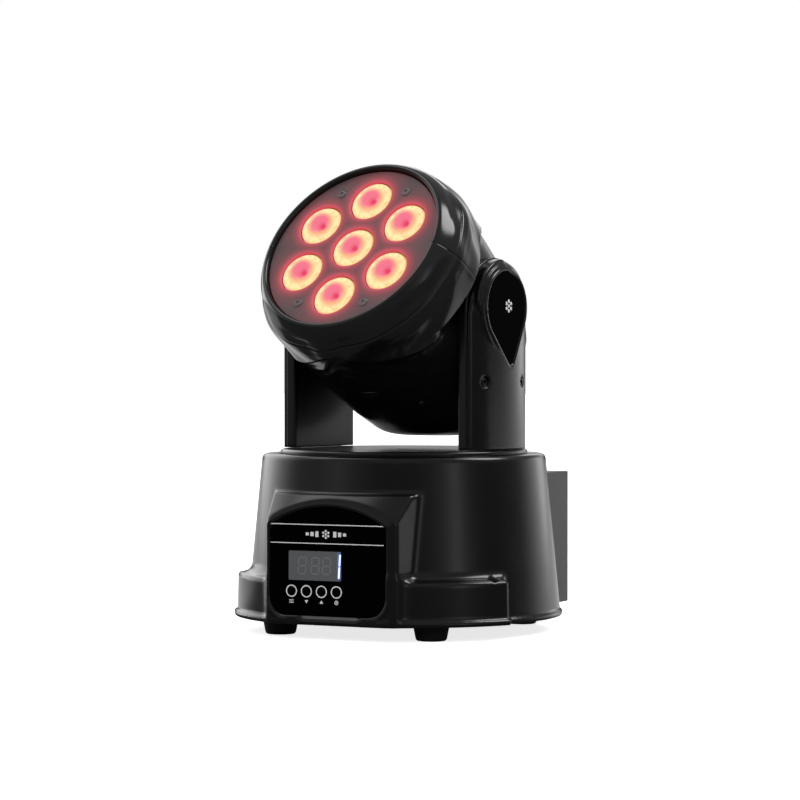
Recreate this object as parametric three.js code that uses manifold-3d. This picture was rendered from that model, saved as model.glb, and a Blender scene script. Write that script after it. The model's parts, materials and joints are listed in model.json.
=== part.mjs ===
// Moving head wash light: a round base with a control console, a yoke that pans on the base, and a head
// with seven LED lenses that tilts between the yoke's arms. Millimetres, +Z up, console facing -Y. The origin
// is on the floor, on the pan axis. The yoke is stored panned by REST_PAN and the head tilted by REST_TILT.
import * as THREE from "three";
import { ConvexGeometry } from "three/addons/geometries/ConvexGeometry.js";
import { mergeVertices } from "three/addons/utils/BufferGeometryUtils.js";
import Module from "manifold-3d";

const wasm = await Module();
wasm.setup();

// ---- Driving dimensions ----
const REST_PAN = THREE.MathUtils.degToRad(-7);
const REST_TILT = THREE.MathUtils.degToRad(34.5); // optical axis above the horizon
const GAP = 0.3; // between neighbouring solids
const WALL = 2.5; // moulded shells
const STEEL = 1.8; // bent and punched plates
const ROUND = 32; // facets of a large circle
const ROUND_SMALL = 16; // facets of a small one

// Base
const FLOOR_GAP = 8; // height of the housing's lower edge
const DRUM_R_LOW = 87.4;
const DRUM_R_TOP = 78.9;
const DRUM_SHOULDER_Z = 94;
const RIM_Z = 97.3;
const RIM_R_OUTER = 75;
const RIM_R_INNER = 70.6;
const DECK_Z = 90; // underside of the deck under the turntable
const DECK_HOLE_R = 22;
const LIP_Z = 10.8;
const LIP_R = 88.2;
const LOBE_R = 92.6;
const LOBE_LIP_R = 94.4;
const LOBE_Z = 32;
const LOBE_ANGLE = 26; // degrees from the X axis to a lobe's rear end
const CONSOLE_Y = -87.8;
const CONSOLE_HALF = 39;
const CONSOLE_HALF_REAR = 45.6;
const CONSOLE_REAR_Y = -62;
const CONSOLE_RIDGE_Z = 77.5;
const CONSOLE_RIDGE_R = 81;
const CONSOLE_SPREAD = 33; // degrees, half the ridge's arc
const ARCH_TOP_Z = 74.5;
const ARCH_R = 70.9;
const FRONT_Y = -89.8; // the lip's front edge; the fuse cap reaches as far back
const FEET = [ // name, x, y
  ["front_left", -45.6, -59], ["front_right", 45.6, -59], ["rear_left", -46.5, 56], ["rear_right", 46.5, 56],
];

// Control fascia, seen from the front
const FASCIA_X = -2;
const FASCIA_HALF = 34.6;
const FASCIA_LOW_Z = 13.5;
const FASCIA_TOP_Z = 70.7;
const FASCIA_ARCH_R = 62;
const FASCIA_CORNER_R = 10;
const FASCIA_T = 0.8;
const POCKET = 1;
const WINDOW = { x: -9.3, z: 39.7, w: 32, h: 16.1 };
const BUTTON_X0 = -23.2;
const BUTTON_PITCH = 9;
const BUTTON_Z = 26.1;
const BUTTON_R = 2.7;
const BUTTON_NAMES = ["menu", "down", "up", "enter"];

// Rear connector box
const REAR_HALF = 61.4;
const REAR_FACE_Y = 87.3;
const REAR_Z = [11.1, 85.6];
const SOCKET_ROW_Z = 62;
const INLET = { x: 24, z: 29 };
const FUSE = { x: -22, z: 29 };
const DMX_X = 27;

// Pan drive
const PAN_PLATE_Z = 78;
const PAN_MOTOR = { x: -41.5, y: 24, half: 21, length: 34 };
const PAN_PULLEY_R = 30;
const PAN_PINION_R = 6;
const BELT_T = 1.3;
const SHAFT_R = 10;
const SHAFT_BORE_R = 7.5;

// Yoke
const TURNTABLE_R = 68.8;
const TURNTABLE_Z = 100;
const YOKE_PLATE_Z = 93.6;
const ARM_INNER_X = 53.6;
const ARM_SPLIT_X = 59.6;
const ARM_R = 68; // plan radius of the arms' outer faces
const ARM_HALF = 29.3;
const PIVOT_Z = 175.2;
const ARM_WALL = 2;
const BADGE = { y: -0.8, z: 2.4, r: 19.4, tipY: 3.5, tipZ: -26, tipR: 3 }; // two circles, hulled
const BADGE_X = 67.8; // the badge's rim, on a flat boss
const DOME_X = 61.5; // where the arm's round top starts to draw in
const DOME_SLOPE = 0.88;
const ARM_SCREW = { y: 19, z: -38, r: 3.4 };

// Head, in its own frame: the optical axis is -Y, s is the distance forward of the tilt axis
const FLAT_X = 51.3;
const FLAT_END_S = 31;
const FACE_S = 61.6;
const FACE_R = 51.2;
const FACE_T = 2;
const LENS_PITCH = 31.6;
const LENS_R = 12.5;
const LENS_HOLE_R = 12.8;
const SCREW_CIRCLE_R = 42.4;
const AXLE_R = 6;
const AXLE_BORE_R = 4;
const BEARING_R = 12;
const TILT_PULLEY_R = 17;
const TILT_PINION_R = 5;
const TILT_MOTOR = { s: -5, w: -27, r: 17.5 };
const FAN_S = [-46, -34];

// ---- Materials ----
const paint = (color, roughness, metalness = 0) =>
  new THREE.MeshStandardMaterial({ color, roughness, metalness });
const BLACK_ABS = paint(0x17171a, 0.42);
const GLOSS_BLACK = paint(0x0a0a0c, 0.12);
const FACE_GREY = paint(0x2b292c, 0.6);
const RUBBER = paint(0x101012, 0.9);
const PAINTED_STEEL = paint(0x202124, 0.5, 0.3);
const STEEL_GREY = paint(0x9a9da1, 0.35, 1);
const ALUMINIUM = paint(0xb4b6ba, 0.4, 1);
const CIRCUIT = paint(0x14502f, 0.5);
const LENS_CLEAR = paint(0xff6a50, 0.08);
const SMOKED = paint(0x4c4d52, 0.2);
const DARK_PLASTIC = paint(0x131315, 0.55);

// ---- Geometry helpers ----

// A closed geometry as a solid, its faces turned outwards.
function solid(geometry) {
  const flat = geometry.index ? geometry.toNonIndexed() : geometry;
  const bare = new THREE.BufferGeometry().setAttribute("position", flat.getAttribute("position"));
  const merged = mergeVertices(bare, 1e-4);
  const p = merged.attributes.position;
  const triangles = [];
  const [a, b, c] = [new THREE.Vector3(), new THREE.Vector3(), new THREE.Vector3()];
  let volume = 0;
  for (let i = 0; i < merged.index.count; i += 3) {
    const [u, v, w] = [0, 1, 2].map((k) => merged.index.getX(i + k));
    if (u === v || v === w || u === w) continue;
    triangles.push(u, v, w);
    a.fromBufferAttribute(p, u);
    b.fromBufferAttribute(p, v);
    c.fromBufferAttribute(p, w);
    volume += a.dot(b.cross(c));
  }
  if (volume < 0) triangles.reverse();
  const triVerts = new Uint32Array(triangles);
  return new wasm.Manifold(new wasm.Mesh({ numProp: 3, vertProperties: p.array, triVerts }));
}

// A solid as a named mesh in a group.
function piece(group, name, body, material) {
  const made = body.getMesh();
  const geometry = new THREE.BufferGeometry();
  const position = new Float32Array(made.numVert * 3);
  for (let i = 0; i < made.numVert; i++) {
    for (let k = 0; k < 3; k++) position[i * 3 + k] = made.vertProperties[i * made.numProp + k];
  }
  geometry.setAttribute("position", new THREE.BufferAttribute(position, 3));
  geometry.setIndex(new THREE.BufferAttribute(made.triVerts, 1));
  const mesh = new THREE.Mesh(geometry, material);
  mesh.name = name;
  group.add(mesh);
  return mesh;
}

const vectors = (points) => points.map(([x, y]) => new THREE.Vector2(x, y));

// A profile of [radius, z] turned about the Z axis.
function turned(points, facets = ROUND) {
  return new THREE.LatheGeometry(vectors(points), facets).rotateX(Math.PI / 2);
}

// A ring or tube about the Z axis.
function tube(rOuter, rInner, z0, z1, facets = ROUND_SMALL) {
  const section = [[rInner, z0], [rOuter, z0], [rOuter, z1], [rInner, z1], [rInner, z0]];
  return turned(section, facets);
}

function disc(r, z0, z1, facets = ROUND_SMALL) {
  return turned([[0, z0], [r, z0], [r, z1], [0, z1]], facets);
}

function box(x0, x1, y0, y1, z0, z1) {
  const size = new THREE.BoxGeometry(x1 - x0, y1 - y0, z1 - z0);
  return size.translate((x0 + x1) / 2, (y0 + y1) / 2, (z0 + z1) / 2);
}

// A plan outline (X, Y) raised from z0 to z1.
function raised(shape, z0, z1, facets = 6) {
  const options = { depth: z1 - z0, bevelEnabled: false, curveSegments: facets };
  return new THREE.ExtrudeGeometry(shape, options).translate(0, 0, z0);
}

// A front outline (X, Z) carried from y0 to y1.
function fronted(shape, y0, y1, facets = 6) {
  return raised(shape, -y1, -y0, facets).rotateX(Math.PI / 2);
}

// A side outline (Y, Z) carried from x0 to x1.
function sided(shape, x0, x1, facets = 8) {
  return raised(shape, x0, x1, facets).applyMatrix4(
    new THREE.Matrix4().makeBasis(
      new THREE.Vector3(0, 1, 0), new THREE.Vector3(0, 0, 1), new THREE.Vector3(1, 0, 0)));
}

// A turned geometry laid with its axis along +X.
const alongX = (geometry) => geometry.rotateY(Math.PI / 2);

// A turned geometry laid with its axis along +Y, or along -Y.
const alongY = (geometry) => geometry.rotateX(-Math.PI / 2);
const alongFront = (geometry) => geometry.rotateX(Math.PI / 2);

const polygon = (points) => new THREE.Shape(vectors(points));
const polar = (r, degrees) => {
  const angle = THREE.MathUtils.degToRad(degrees);
  return [r * Math.cos(angle), r * Math.sin(angle)];
};

function roundedRect(x0, x1, y0, y1, r) {
  const shape = new THREE.Shape();
  shape.moveTo(x0 + r, y0);
  shape.lineTo(x1 - r, y0).absarc(x1 - r, y0 + r, r, -Math.PI / 2, 0);
  shape.lineTo(x1, y1 - r).absarc(x1 - r, y1 - r, r, 0, Math.PI / 2);
  shape.lineTo(x0 + r, y1).absarc(x0 + r, y1 - r, r, Math.PI / 2, Math.PI);
  shape.lineTo(x0, y0 + r).absarc(x0 + r, y0 + r, r, Math.PI, Math.PI * 1.5);
  return shape;
}

const sum = (...parts) => parts.reduce((all, part) => all.add(part));
const mirrored = (geometry) => geometry.clone().scale(-1, 1, 1);

// A belt round two pulleys on parallel Z axes: the first at the origin, the second at (distance, 0).
function belt(r1, r2, distance, z0, z1) {
  const loop = (extra) => {
    const lean = Math.asin((r1 - r2) / distance);
    const shape = new THREE.Shape();
    const [a, b] = [Math.PI / 2 - lean, lean - Math.PI / 2];
    shape.absarc(0, 0, r1 + extra, a, Math.PI * 2 + b, false);
    shape.absarc(distance, 0, r2 + extra, b, a, false);
    return shape;
  };
  const outer = loop(GAP + BELT_T);
  outer.holes.push(loop(GAP));
  return raised(outer, z0, z1, 8);
}

// ---- Base ----

// The drum's outside as a solid of revolution, swelled by extra.
function drum(extra = 0) {
  return turned([
    [0, FLOOR_GAP], [DRUM_R_LOW + extra, FLOOR_GAP], [DRUM_R_TOP + extra, DRUM_SHOULDER_Z],
    [DRUM_R_TOP - 0.7 + extra, DRUM_SHOULDER_Z + 1.7], [DRUM_R_TOP - 2.2 + extra, RIM_Z - 0.4],
    [RIM_R_OUTER, RIM_Z], [RIM_R_INNER, RIM_Z], [RIM_R_INNER, DECK_Z + WALL], [0, DECK_Z + WALL],
  ]);
}

// The console's block: the hull of its arched front face, its side walls and its ridge, an arc on the drum.
function consoleBlock(inset) {
  const half = CONSOLE_HALF - inset;
  const frontY = CONSOLE_Y + inset;
  const ridgeZ = CONSOLE_RIDGE_Z - inset;
  const ridgeR = CONSOLE_RIDGE_R - inset;
  const arch = new THREE.Shape();
  const spread = Math.asin(half / ARCH_R);
  arch.absarc(0, ARCH_TOP_Z - ARCH_R - inset, ARCH_R, Math.PI / 2 - spread, Math.PI / 2 + spread, false);
  const frontTop = arch.getPoints(8).map(({ x, y }) => new THREE.Vector3(x, frontY, y));
  const ridge = [-CONSOLE_SPREAD, -16, 0, 16, CONSOLE_SPREAD].map((degrees) => {
    const [x, y] = polar(ridgeR, degrees - 90);
    return new THREE.Vector3(x, y, ridgeZ);
  });
  const low = FLOOR_GAP - inset;
  const rearHalf = CONSOLE_HALF_REAR - inset;
  const lowCorners = [
    [-half, frontY], [half, frontY], [rearHalf, CONSOLE_REAR_Y], [-rearHalf, CONSOLE_REAR_Y],
  ].map(([x, y]) => new THREE.Vector3(x, y, low));
  const rearTop = [-1, 1].map((side) => new THREE.Vector3(side * rearHalf, CONSOLE_REAR_Y, ridgeZ));
  return solid(new ConvexGeometry([...frontTop, ...ridge, ...lowCorners, ...rearTop]));
}

// A sector of a disc, from one polar angle to another in degrees.
function sector(r, from, to, z0, z1) {
  const shape = new THREE.Shape();
  shape.moveTo(0, 0);
  shape.absarc(0, 0, r, THREE.MathUtils.degToRad(from), THREE.MathUtils.degToRad(to), false);
  return raised(shape, z0, z1, 8);
}

// The fascia's outline, shrunk by inset.
function fasciaOutline(inset) {
  const half = FASCIA_HALF - inset;
  const r = FASCIA_CORNER_R - inset;
  const low = FASCIA_LOW_Z + inset;
  const archR = FASCIA_ARCH_R - inset;
  const archZ = FASCIA_TOP_Z - FASCIA_ARCH_R;
  const spread = Math.asin((half - 2) / archR);
  const [right, left] = [FASCIA_X + half, FASCIA_X - half];
  const shape = new THREE.Shape();
  shape.moveTo(left + r, low);
  shape.lineTo(right - r, low).absarc(right - r, low + r, r, -Math.PI / 2, 0);
  shape.lineTo(right, archZ + archR * Math.cos(spread) - 3);
  shape.absarc(FASCIA_X, archZ, archR, Math.PI / 2 - spread, Math.PI / 2 + spread, false);
  shape.lineTo(left, archZ + archR * Math.cos(spread) - 3);
  shape.lineTo(left, low + r).absarc(left + r, low + r, r, Math.PI, Math.PI * 1.5);
  return shape;
}

const buttonX = (i) => BUTTON_X0 + i * BUTTON_PITCH;

function windowBox(y0, y1, shrink) {
  const { x, z, w, h } = WINDOW;
  return box(x - w / 2 + shrink, x + w / 2 - shrink, y0, y1, z - h / 2 + shrink, z + h / 2 - shrink);
}

function buttonHoles(r, y0, y1) {
  return sum(...BUTTON_NAMES.map((_, i) =>
    solid(alongY(disc(r, y0, y1, 12)).translate(buttonX(i), 0, BUTTON_Z))));
}

function lobeScrews(make) {
  return sum(...[-31, -149].map((angle) => {
    const [x, y] = polar(88.2, angle);
    return solid(make().translate(x, y, 0));
  }));
}

function baseHousing() {
  const lobe = (from, to) => solid(sector(LOBE_R, from, to, FLOOR_GAP, LOBE_Z));
  const frontLip = solid(sector(LOBE_LIP_R, LOBE_ANGLE - 181, 1 - LOBE_ANGLE, FLOOR_GAP, LIP_Z))
    .intersect(solid(box(-100, 100, FRONT_Y, 0, 0, 20)));
  const consoleEnd = -64;
  const outside = sum(
    solid(drum()), consoleBlock(0), solid(disc(LIP_R, FLOOR_GAP, LIP_Z, ROUND)), frontLip,
    lobe(consoleEnd, -LOBE_ANGLE), lobe(LOBE_ANGLE - 180, -180 - consoleEnd));
  const cavity = sum(
    solid(turned([[0, 0], [DRUM_R_LOW - WALL, 0], [DRUM_R_LOW - WALL, FLOOR_GAP],
      [DRUM_R_TOP - WALL + 0.4, DECK_Z], [0, DECK_Z]])),
    consoleBlock(WALL));
  const openings = sum(
    solid(disc(DECK_HOLE_R, DECK_Z - 1, RIM_Z, ROUND_SMALL)),
    solid(fronted(fasciaOutline(0), CONSOLE_Y - 1, CONSOLE_Y + POCKET)),
    solid(windowBox(CONSOLE_Y, CONSOLE_Y + 4, 0)),
    buttonHoles(BUTTON_R + 0.5, CONSOLE_Y, CONSOLE_Y + 4),
    solid(box(-50, 50, 60, 100, 16, 80)),
    lobeScrews(() => disc(2.6, LOBE_Z - 2.5, LOBE_Z + 1, 10)));
  return outside.subtract(cavity).subtract(openings);
}

function bottomPlate() {
  const r = DRUM_R_LOW - WALL - GAP - 0.2;
  const outline = sum(
    solid(disc(r, 0, STEEL, ROUND)),
    solid(box(-35.5, 35.5, CONSOLE_Y + WALL + GAP, -60, 0, STEEL)));
  const bracketHoles = [-35, 35].map((x) => solid(disc(4.2, -1, 3, 8).translate(x, 0, 0)));
  const slots = [16, 23, 30, 37, 44].map((y) => solid(box(-15, 15, y - 1.5, y + 1.5, -1, 3)));
  return outline.subtract(sum(...bracketHoles, ...slots));
}

const foot = () => turned([
  [0, 0], [7.4, 0], [8.3, 0.9], [9.8, FLOOR_GAP - 0.4], [0, FLOOR_GAP - 0.4],
], ROUND_SMALL);

function rearBox() {
  const [z0, z1] = REAR_Z;
  const hole = (x, z, w, h) => solid(box(x - w / 2, x + w / 2, 60, 100, z - h / 2, z + h / 2));
  const round = (x, z, r) => solid(alongY(disc(r, 60, 100)).translate(x, 0, z));
  const inside = REAR_HALF - STEEL;
  return solid(box(-REAR_HALF, REAR_HALF, 45, REAR_FACE_Y, z0, z1))
    .subtract(solid(box(-inside, inside, 30, REAR_FACE_Y - STEEL, z0 + STEEL, z1 - STEEL)))
    .subtract(sum(
      hole(INLET.x, INLET.z, 28.6, 21.6), round(FUSE.x, FUSE.z, 6.4),
      round(DMX_X, SOCKET_ROW_Z, 12.2), round(-DMX_X, SOCKET_ROW_Z, 12.2)))
    .subtract(solid(drum(GAP)))
    .subtract(solid(disc(LIP_R + GAP, 0, LIP_Z + GAP, ROUND)));
}

// An appliance inlet with three blades in its cavity.
function mainsInlet() {
  const y = REAR_FACE_Y + 0.1;
  const deep = 16;
  const outline = (w, h) => polygon([
    [-w / 2, -h / 2], [w / 2, -h / 2], [w / 2, h / 2 - 4],
    [w / 2 - 4, h / 2], [4 - w / 2, h / 2], [-w / 2, h / 2 - 4],
  ]);
  const flange = solid(fronted(roundedRect(-25, 25, -12, 12, 3), y, y + 2, 4));
  const body = solid(fronted(outline(28, 21), y - deep, y + 0.5));
  const cavity = solid(fronted(outline(24.6, 17), y - deep + 2, y + 3));
  const blades = [[-7, -2], [7, -2], [0, 2.5]].map(([x, z]) =>
    solid(box(x - 1, x + 1, y - deep + 1, y - 2, z - 2, z + 2)));
  return sum(flange.add(body).subtract(cavity), ...blades);
}

function fuseHolder() {
  const y = REAR_FACE_Y + 0.1;
  const cap = turned([
    [0, y], [8.6, y], [8.6, y + 1], [6.4, y + 1.3], [6.2, y + 2.4], [0, y + 2.4],
  ], ROUND_SMALL);
  const stem = disc(6, y - 20, y + 0.5);
  const slot = box(-5, 5, y + 1.4, y + 3, -0.7, 0.7);
  return solid(alongY(cap)).add(solid(alongY(stem))).subtract(solid(slot));
}

// A panel-mount three-pin socket: male contacts for the data input, a bored insert for the output.
function dmxSocket(male) {
  const y = REAR_FACE_Y + 0.1;
  const flange = solid(fronted(roundedRect(-13, 13, -15.5, 15.5, 2.5), y, y + 2, 4));
  const barrel = solid(alongY(disc(11.8, y - 17, y + 0.5)));
  const bore = solid(alongY(disc(9.4, y - 14, y + 3)));
  const ring = flange.add(barrel).subtract(bore);
  const contacts = [90, 210, 330].map((angle) => polar(5, angle));
  if (male) {
    return sum(ring, ...contacts.map(([x, z]) =>
      solid(alongY(disc(1.2, y - 15, y - 2, 8)).translate(x, 0, z))));
  }
  const insert = solid(alongY(disc(7.6, y - 15, y + 0.6)));
  const bores = contacts.map(([x, z]) => solid(alongY(disc(1.5, y - 11, y + 2, 8)).translate(x, 0, z)));
  return ring.add(insert.subtract(sum(...bores)));
}

function controlBoard() {
  const y = -79;
  const board = solid(box(-34, 33, y, y + 1.6, 16, 58));
  const switches = BUTTON_NAMES.map((_, i) =>
    solid(box(buttonX(i) - 3, buttonX(i) + 3, y - 2.4, y + 0.1, BUTTON_Z - 3, BUTTON_Z + 3)));
  const chip = solid(box(14, 24, y + 1.5, y + 3.2, 30, 40));
  return sum(board, ...switches, chip);
}

function powerSupply() {
  const z = FLOOR_GAP + 4;
  const board = solid(box(-38, 38, -22, 34, z, z + 1.6));
  const transformer = solid(box(-14, 14, -12, 12, z + 1.5, z + 24));
  const sink = solid(box(24, 27, -18, 20, z + 1.5, z + 26));
  const cans = [[-26, -8], [-26, 10], [12, 24]].map(([x, y]) =>
    solid(disc(6.5, z + 1.5, z + 24, 16).translate(x, y, 0)));
  return sum(board, transformer, sink, ...cans);
}

function panMountPlate() {
  const posts = [35, 125, 215, 305].map((angle) => {
    const [x, y] = polar(63, angle);
    return solid(disc(3.5, PAN_PLATE_Z + 1, DECK_Z - GAP, 8).translate(x, y, 0));
  });
  const seat = solid(tube(20, 16.3, PAN_PLATE_Z - 8, PAN_PLATE_Z + 1));
  const plate = solid(disc(70, PAN_PLATE_Z, PAN_PLATE_Z + STEEL, ROUND))
    .subtract(solid(disc(14, 0, 200)))
    .subtract(solid(disc(11.4, 0, 200).translate(PAN_MOTOR.x, PAN_MOTOR.y, 0)));
  return sum(plate, seat, ...posts);
}

function panMotor() {
  const { half, length } = PAN_MOTOR;
  const top = PAN_PLATE_Z - GAP;
  const can = solid(raised(roundedRect(-half, half, -half, half, 4), top - length, top, 3));
  const boss = solid(disc(11, top - 1, top + 2));
  const shaft = solid(disc(2.5, top, PAN_PLATE_Z + 10, 12));
  return sum(can, boss, shaft);
}

// A flanged belt pulley about the Z axis, from z0 to z1.
function pulley(r, bore, z0, z1, facets = 20) {
  const rim = 1;
  const flange = r + 2.2;
  return turned([
    [bore, z0], [flange, z0], [flange, z0 + rim], [r, z0 + rim],
    [r, z1 - rim], [flange, z1 - rim], [flange, z1], [bore, z1], [bore, z0],
  ], facets);
}

function buildBase(root) {
  const base = new THREE.Group();
  root.add(base);
  piece(base, "base_housing", baseHousing(), BLACK_ABS);
  piece(base, "bottom_plate", bottomPlate(), PAINTED_STEEL).position.z = FLOOR_GAP;
  for (const [name, x, y] of FEET) {
    piece(base, `foot_${name}`, solid(foot()), RUBBER).position.set(x, y, 0);
  }
  piece(base, "rear_connector_box", rearBox(), PAINTED_STEEL);
  piece(base, "mains_inlet", mainsInlet(), DARK_PLASTIC).position.set(INLET.x, 0, INLET.z);
  piece(base, "fuse_holder", fuseHolder(), DARK_PLASTIC).position.set(FUSE.x, 0, FUSE.z);
  piece(base, "dmx_in_socket", dmxSocket(true), DARK_PLASTIC).position.set(DMX_X, 0, SOCKET_ROW_Z);
  piece(base, "dmx_out_socket", dmxSocket(false), DARK_PLASTIC).position.set(-DMX_X, 0, SOCKET_ROW_Z);
  const fasciaBack = CONSOLE_Y + POCKET - 0.1;
  const fascia = solid(fronted(fasciaOutline(0.25), fasciaBack - FASCIA_T, fasciaBack))
    .subtract(solid(windowBox(CONSOLE_Y - 2, CONSOLE_Y + 4, 0)))
    .subtract(buttonHoles(BUTTON_R + 0.35, CONSOLE_Y - 2, CONSOLE_Y + 4));
  piece(base, "control_fascia", fascia, GLOSS_BLACK);
  piece(base, "display_module", solid(windowBox(CONSOLE_Y + 0.15, -79.3, GAP)), SMOKED);
  BUTTON_NAMES.forEach((name, i) => {
    const cap = turned([
      [0, CONSOLE_Y - 0.7], [BUTTON_R - 0.7, CONSOLE_Y - 0.6], [BUTTON_R, CONSOLE_Y],
      [BUTTON_R, -83.4], [1.6, -83], [1.6, -82.2], [0, -82.2],
    ], 12);
    piece(base, `button_${name}`, solid(alongY(cap)), GLOSS_BLACK).position.set(buttonX(i), 0, BUTTON_Z);
  });
  piece(base, "control_board", controlBoard(), CIRCUIT);
  piece(base, "power_supply_board", powerSupply(), CIRCUIT);
  piece(base, "pan_mount_plate", panMountPlate(), STEEL_GREY);
  const bearing = solid(tube(16, SHAFT_R + 0.3, PAN_PLATE_Z - 7.5, PAN_PLATE_Z - 0.3));
  piece(base, "pan_bearing", bearing, STEEL_GREY);
  piece(base, "pan_motor", panMotor(), DARK_PLASTIC).position.set(PAN_MOTOR.x, PAN_MOTOR.y, 0);
  const pinion = solid(pulley(PAN_PINION_R, 2.9, 82, 88, 12));
  piece(base, "pan_motor_pulley", pinion, ALUMINIUM).position.set(PAN_MOTOR.x, PAN_MOTOR.y, 0);
  const distance = Math.hypot(PAN_MOTOR.x, PAN_MOTOR.y);
  const loopShape = solid(belt(PAN_PULLEY_R, PAN_PINION_R, distance, 83.4, 86.6));
  const loop = piece(base, "pan_belt", loopShape, RUBBER);
  loop.rotation.z = Math.atan2(PAN_MOTOR.y, PAN_MOTOR.x);
}

// ---- Yoke ----

// An arm's side outline about the pivot, grown by extra: straight sides and a round top.
function armOutline(extra, low) {
  const half = ARM_HALF + extra;
  const shape = new THREE.Shape();
  shape.moveTo(-half, low);
  shape.lineTo(half, low);
  shape.absarc(0, 0, half, 0, Math.PI, false);
  return shape;
}

const ARM_LOW = TURNTABLE_Z + 0.4 - PIVOT_Z; // relative to the pivot

function innerArmCover() {
  const shell = solid(sided(armOutline(0, ARM_LOW), ARM_INNER_X, ARM_SPLIT_X - 0.15));
  const hollow = solid(sided(armOutline(-ARM_WALL, ARM_LOW - 1), ARM_INNER_X + ARM_WALL, ARM_SPLIT_X + 1));
  const hole = solid(alongX(disc(AXLE_R + 1.4, 40, 80)));
  return shell.subtract(hollow).subtract(hole);
}

function armScrewHoles(r, x0, x1) {
  return sum(...[-1, 1].map((side) =>
    solid(alongX(disc(r, x0, x1, 10)).translate(0, side * ARM_SCREW.y, ARM_SCREW.z))));
}

// The teardrop outline of the badge plate, grown by extra.
function badgeOutline(extra) {
  const { y, z, tipY, tipZ } = BADGE;
  const r = BADGE.r + extra;
  const tip = BADGE.tipR + extra;
  const turn = Math.atan2(tipY - y, z - tipZ);
  const lean = Math.asin((r - tip) / Math.hypot(tipY - y, tipZ - z));
  const shape = new THREE.Shape();
  shape.absarc(y, z, r, turn - lean, turn + Math.PI + lean, false);
  shape.absarc(tipY, tipZ, tip, turn + Math.PI + lean, turn + Math.PI * 2 - lean, false);
  return shape;
}

// What the dome leaves of an outer cover: all of it below the pivot, and a cone above.
function domeLimit(inset) {
  const wide = ARM_HALF + 1.7;
  const start = DOME_X - (1.7 + inset) / DOME_SLOPE;
  const end = wide - (70 - start) * DOME_SLOPE;
  const cone = turned([[0, 45], [wide, 45], [wide, start], [end, 70], [0, 70]], 48);
  return sum(solid(alongX(cone)), solid(box(45, 72, -40, 40, -90, 0)));
}

// A vertical cylinder of the arms' plan radius, about the pan axis.
const armRound = (r) => solid(disc(r, -90, 60, 60));

function outerArmCover() {
  const body = solid(sided(armOutline(0, ARM_LOW), ARM_SPLIT_X + 0.15, ARM_R + 2))
    .intersect(armRound(ARM_R))
    .intersect(domeLimit(0));
  const hollow = solid(sided(armOutline(-ARM_WALL, ARM_LOW - 1), ARM_SPLIT_X - 1, ARM_R + 2))
    .intersect(armRound(ARM_R - ARM_WALL - 1))
    .intersect(domeLimit(ARM_WALL * 1.33));
  const boss = solid(sided(badgeOutline(1.9), ARM_SPLIT_X + 3, BADGE_X));
  const pocket = solid(sided(badgeOutline(0.25), BADGE_X - 1.2, BADGE_X + 1));
  return body.add(boss).subtract(hollow).subtract(pocket).subtract(armScrewHoles(ARM_SCREW.r, 63.5, 80));
}

const badgePlate = () => solid(sided(badgeOutline(0), BADGE_X - 1, BADGE_X - 0.2));

// An upright steel bracket: a plate with a round head for the axle and a foot on the yoke's base plate.
function armBracket() {
  const half = 20;
  const low = YOKE_PLATE_Z + STEEL + 0.2 - PIVOT_Z;
  const outline = new THREE.Shape();
  outline.moveTo(-half, low);
  outline.lineTo(half, low);
  outline.absarc(0, 0, half, 0, Math.PI, false);
  const plate = solid(sided(outline, 56.3, 56.3 + STEEL));
  const footPlate = solid(box(44, 56.8, -half, half, low, low + STEEL));
  return sum(plate, footPlate).subtract(solid(alongX(disc(AXLE_R + 0.3, 40, 80))));
}

function turntable() {
  const skirt = WALL;
  const profile = [
    [0, 97.9], [TURNTABLE_R - skirt, 97.9], [TURNTABLE_R - skirt, 93.8], [TURNTABLE_R, 93.8],
    [TURNTABLE_R, TURNTABLE_Z - 1.2], [TURNTABLE_R - 1.2, TURNTABLE_Z], [0, TURNTABLE_Z],
  ];
  const slots = [-1, 1].map((side) => {
    const [x0, x1] = [55.9, 58.5].map((x) => side * x).sort((a, b) => a - b);
    return solid(box(x0, x1, -20.4, 20.4, 90, 110));
  });
  return solid(turned(profile)).subtract(sum(...slots));
}

function panShaft() {
  const top = YOKE_PLATE_Z + STEEL + 2;
  return turned([
    [SHAFT_BORE_R, 68], [SHAFT_R, 68], [SHAFT_R, YOKE_PLATE_Z + STEEL + 0.2],
    [17, YOKE_PLATE_Z + STEEL + 0.2], [17, top], [SHAFT_BORE_R, top], [SHAFT_BORE_R, 68],
  ], ROUND_SMALL);
}

// An axle stub from the arm bracket to the head's inside, with a flange outside the bracket.
function axle(inner) {
  const flangeX = 56.3 + STEEL + GAP;
  return alongX(turned([
    [AXLE_BORE_R, inner], [AXLE_R, inner], [AXLE_R, flangeX], [10, flangeX], [10, flangeX + 1.6],
    [AXLE_BORE_R, flangeX + 1.6], [AXLE_BORE_R, inner],
  ], ROUND_SMALL));
}

const onSide = (body, side) => (side > 0 ? body : mirroredSolid(body));

// A solid mirrored from the right arm to the left.
function mirroredSolid(body) {
  const holder = new THREE.Group();
  return solid(mirrored(piece(holder, "mirror", body, BLACK_ABS).geometry));
}

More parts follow.
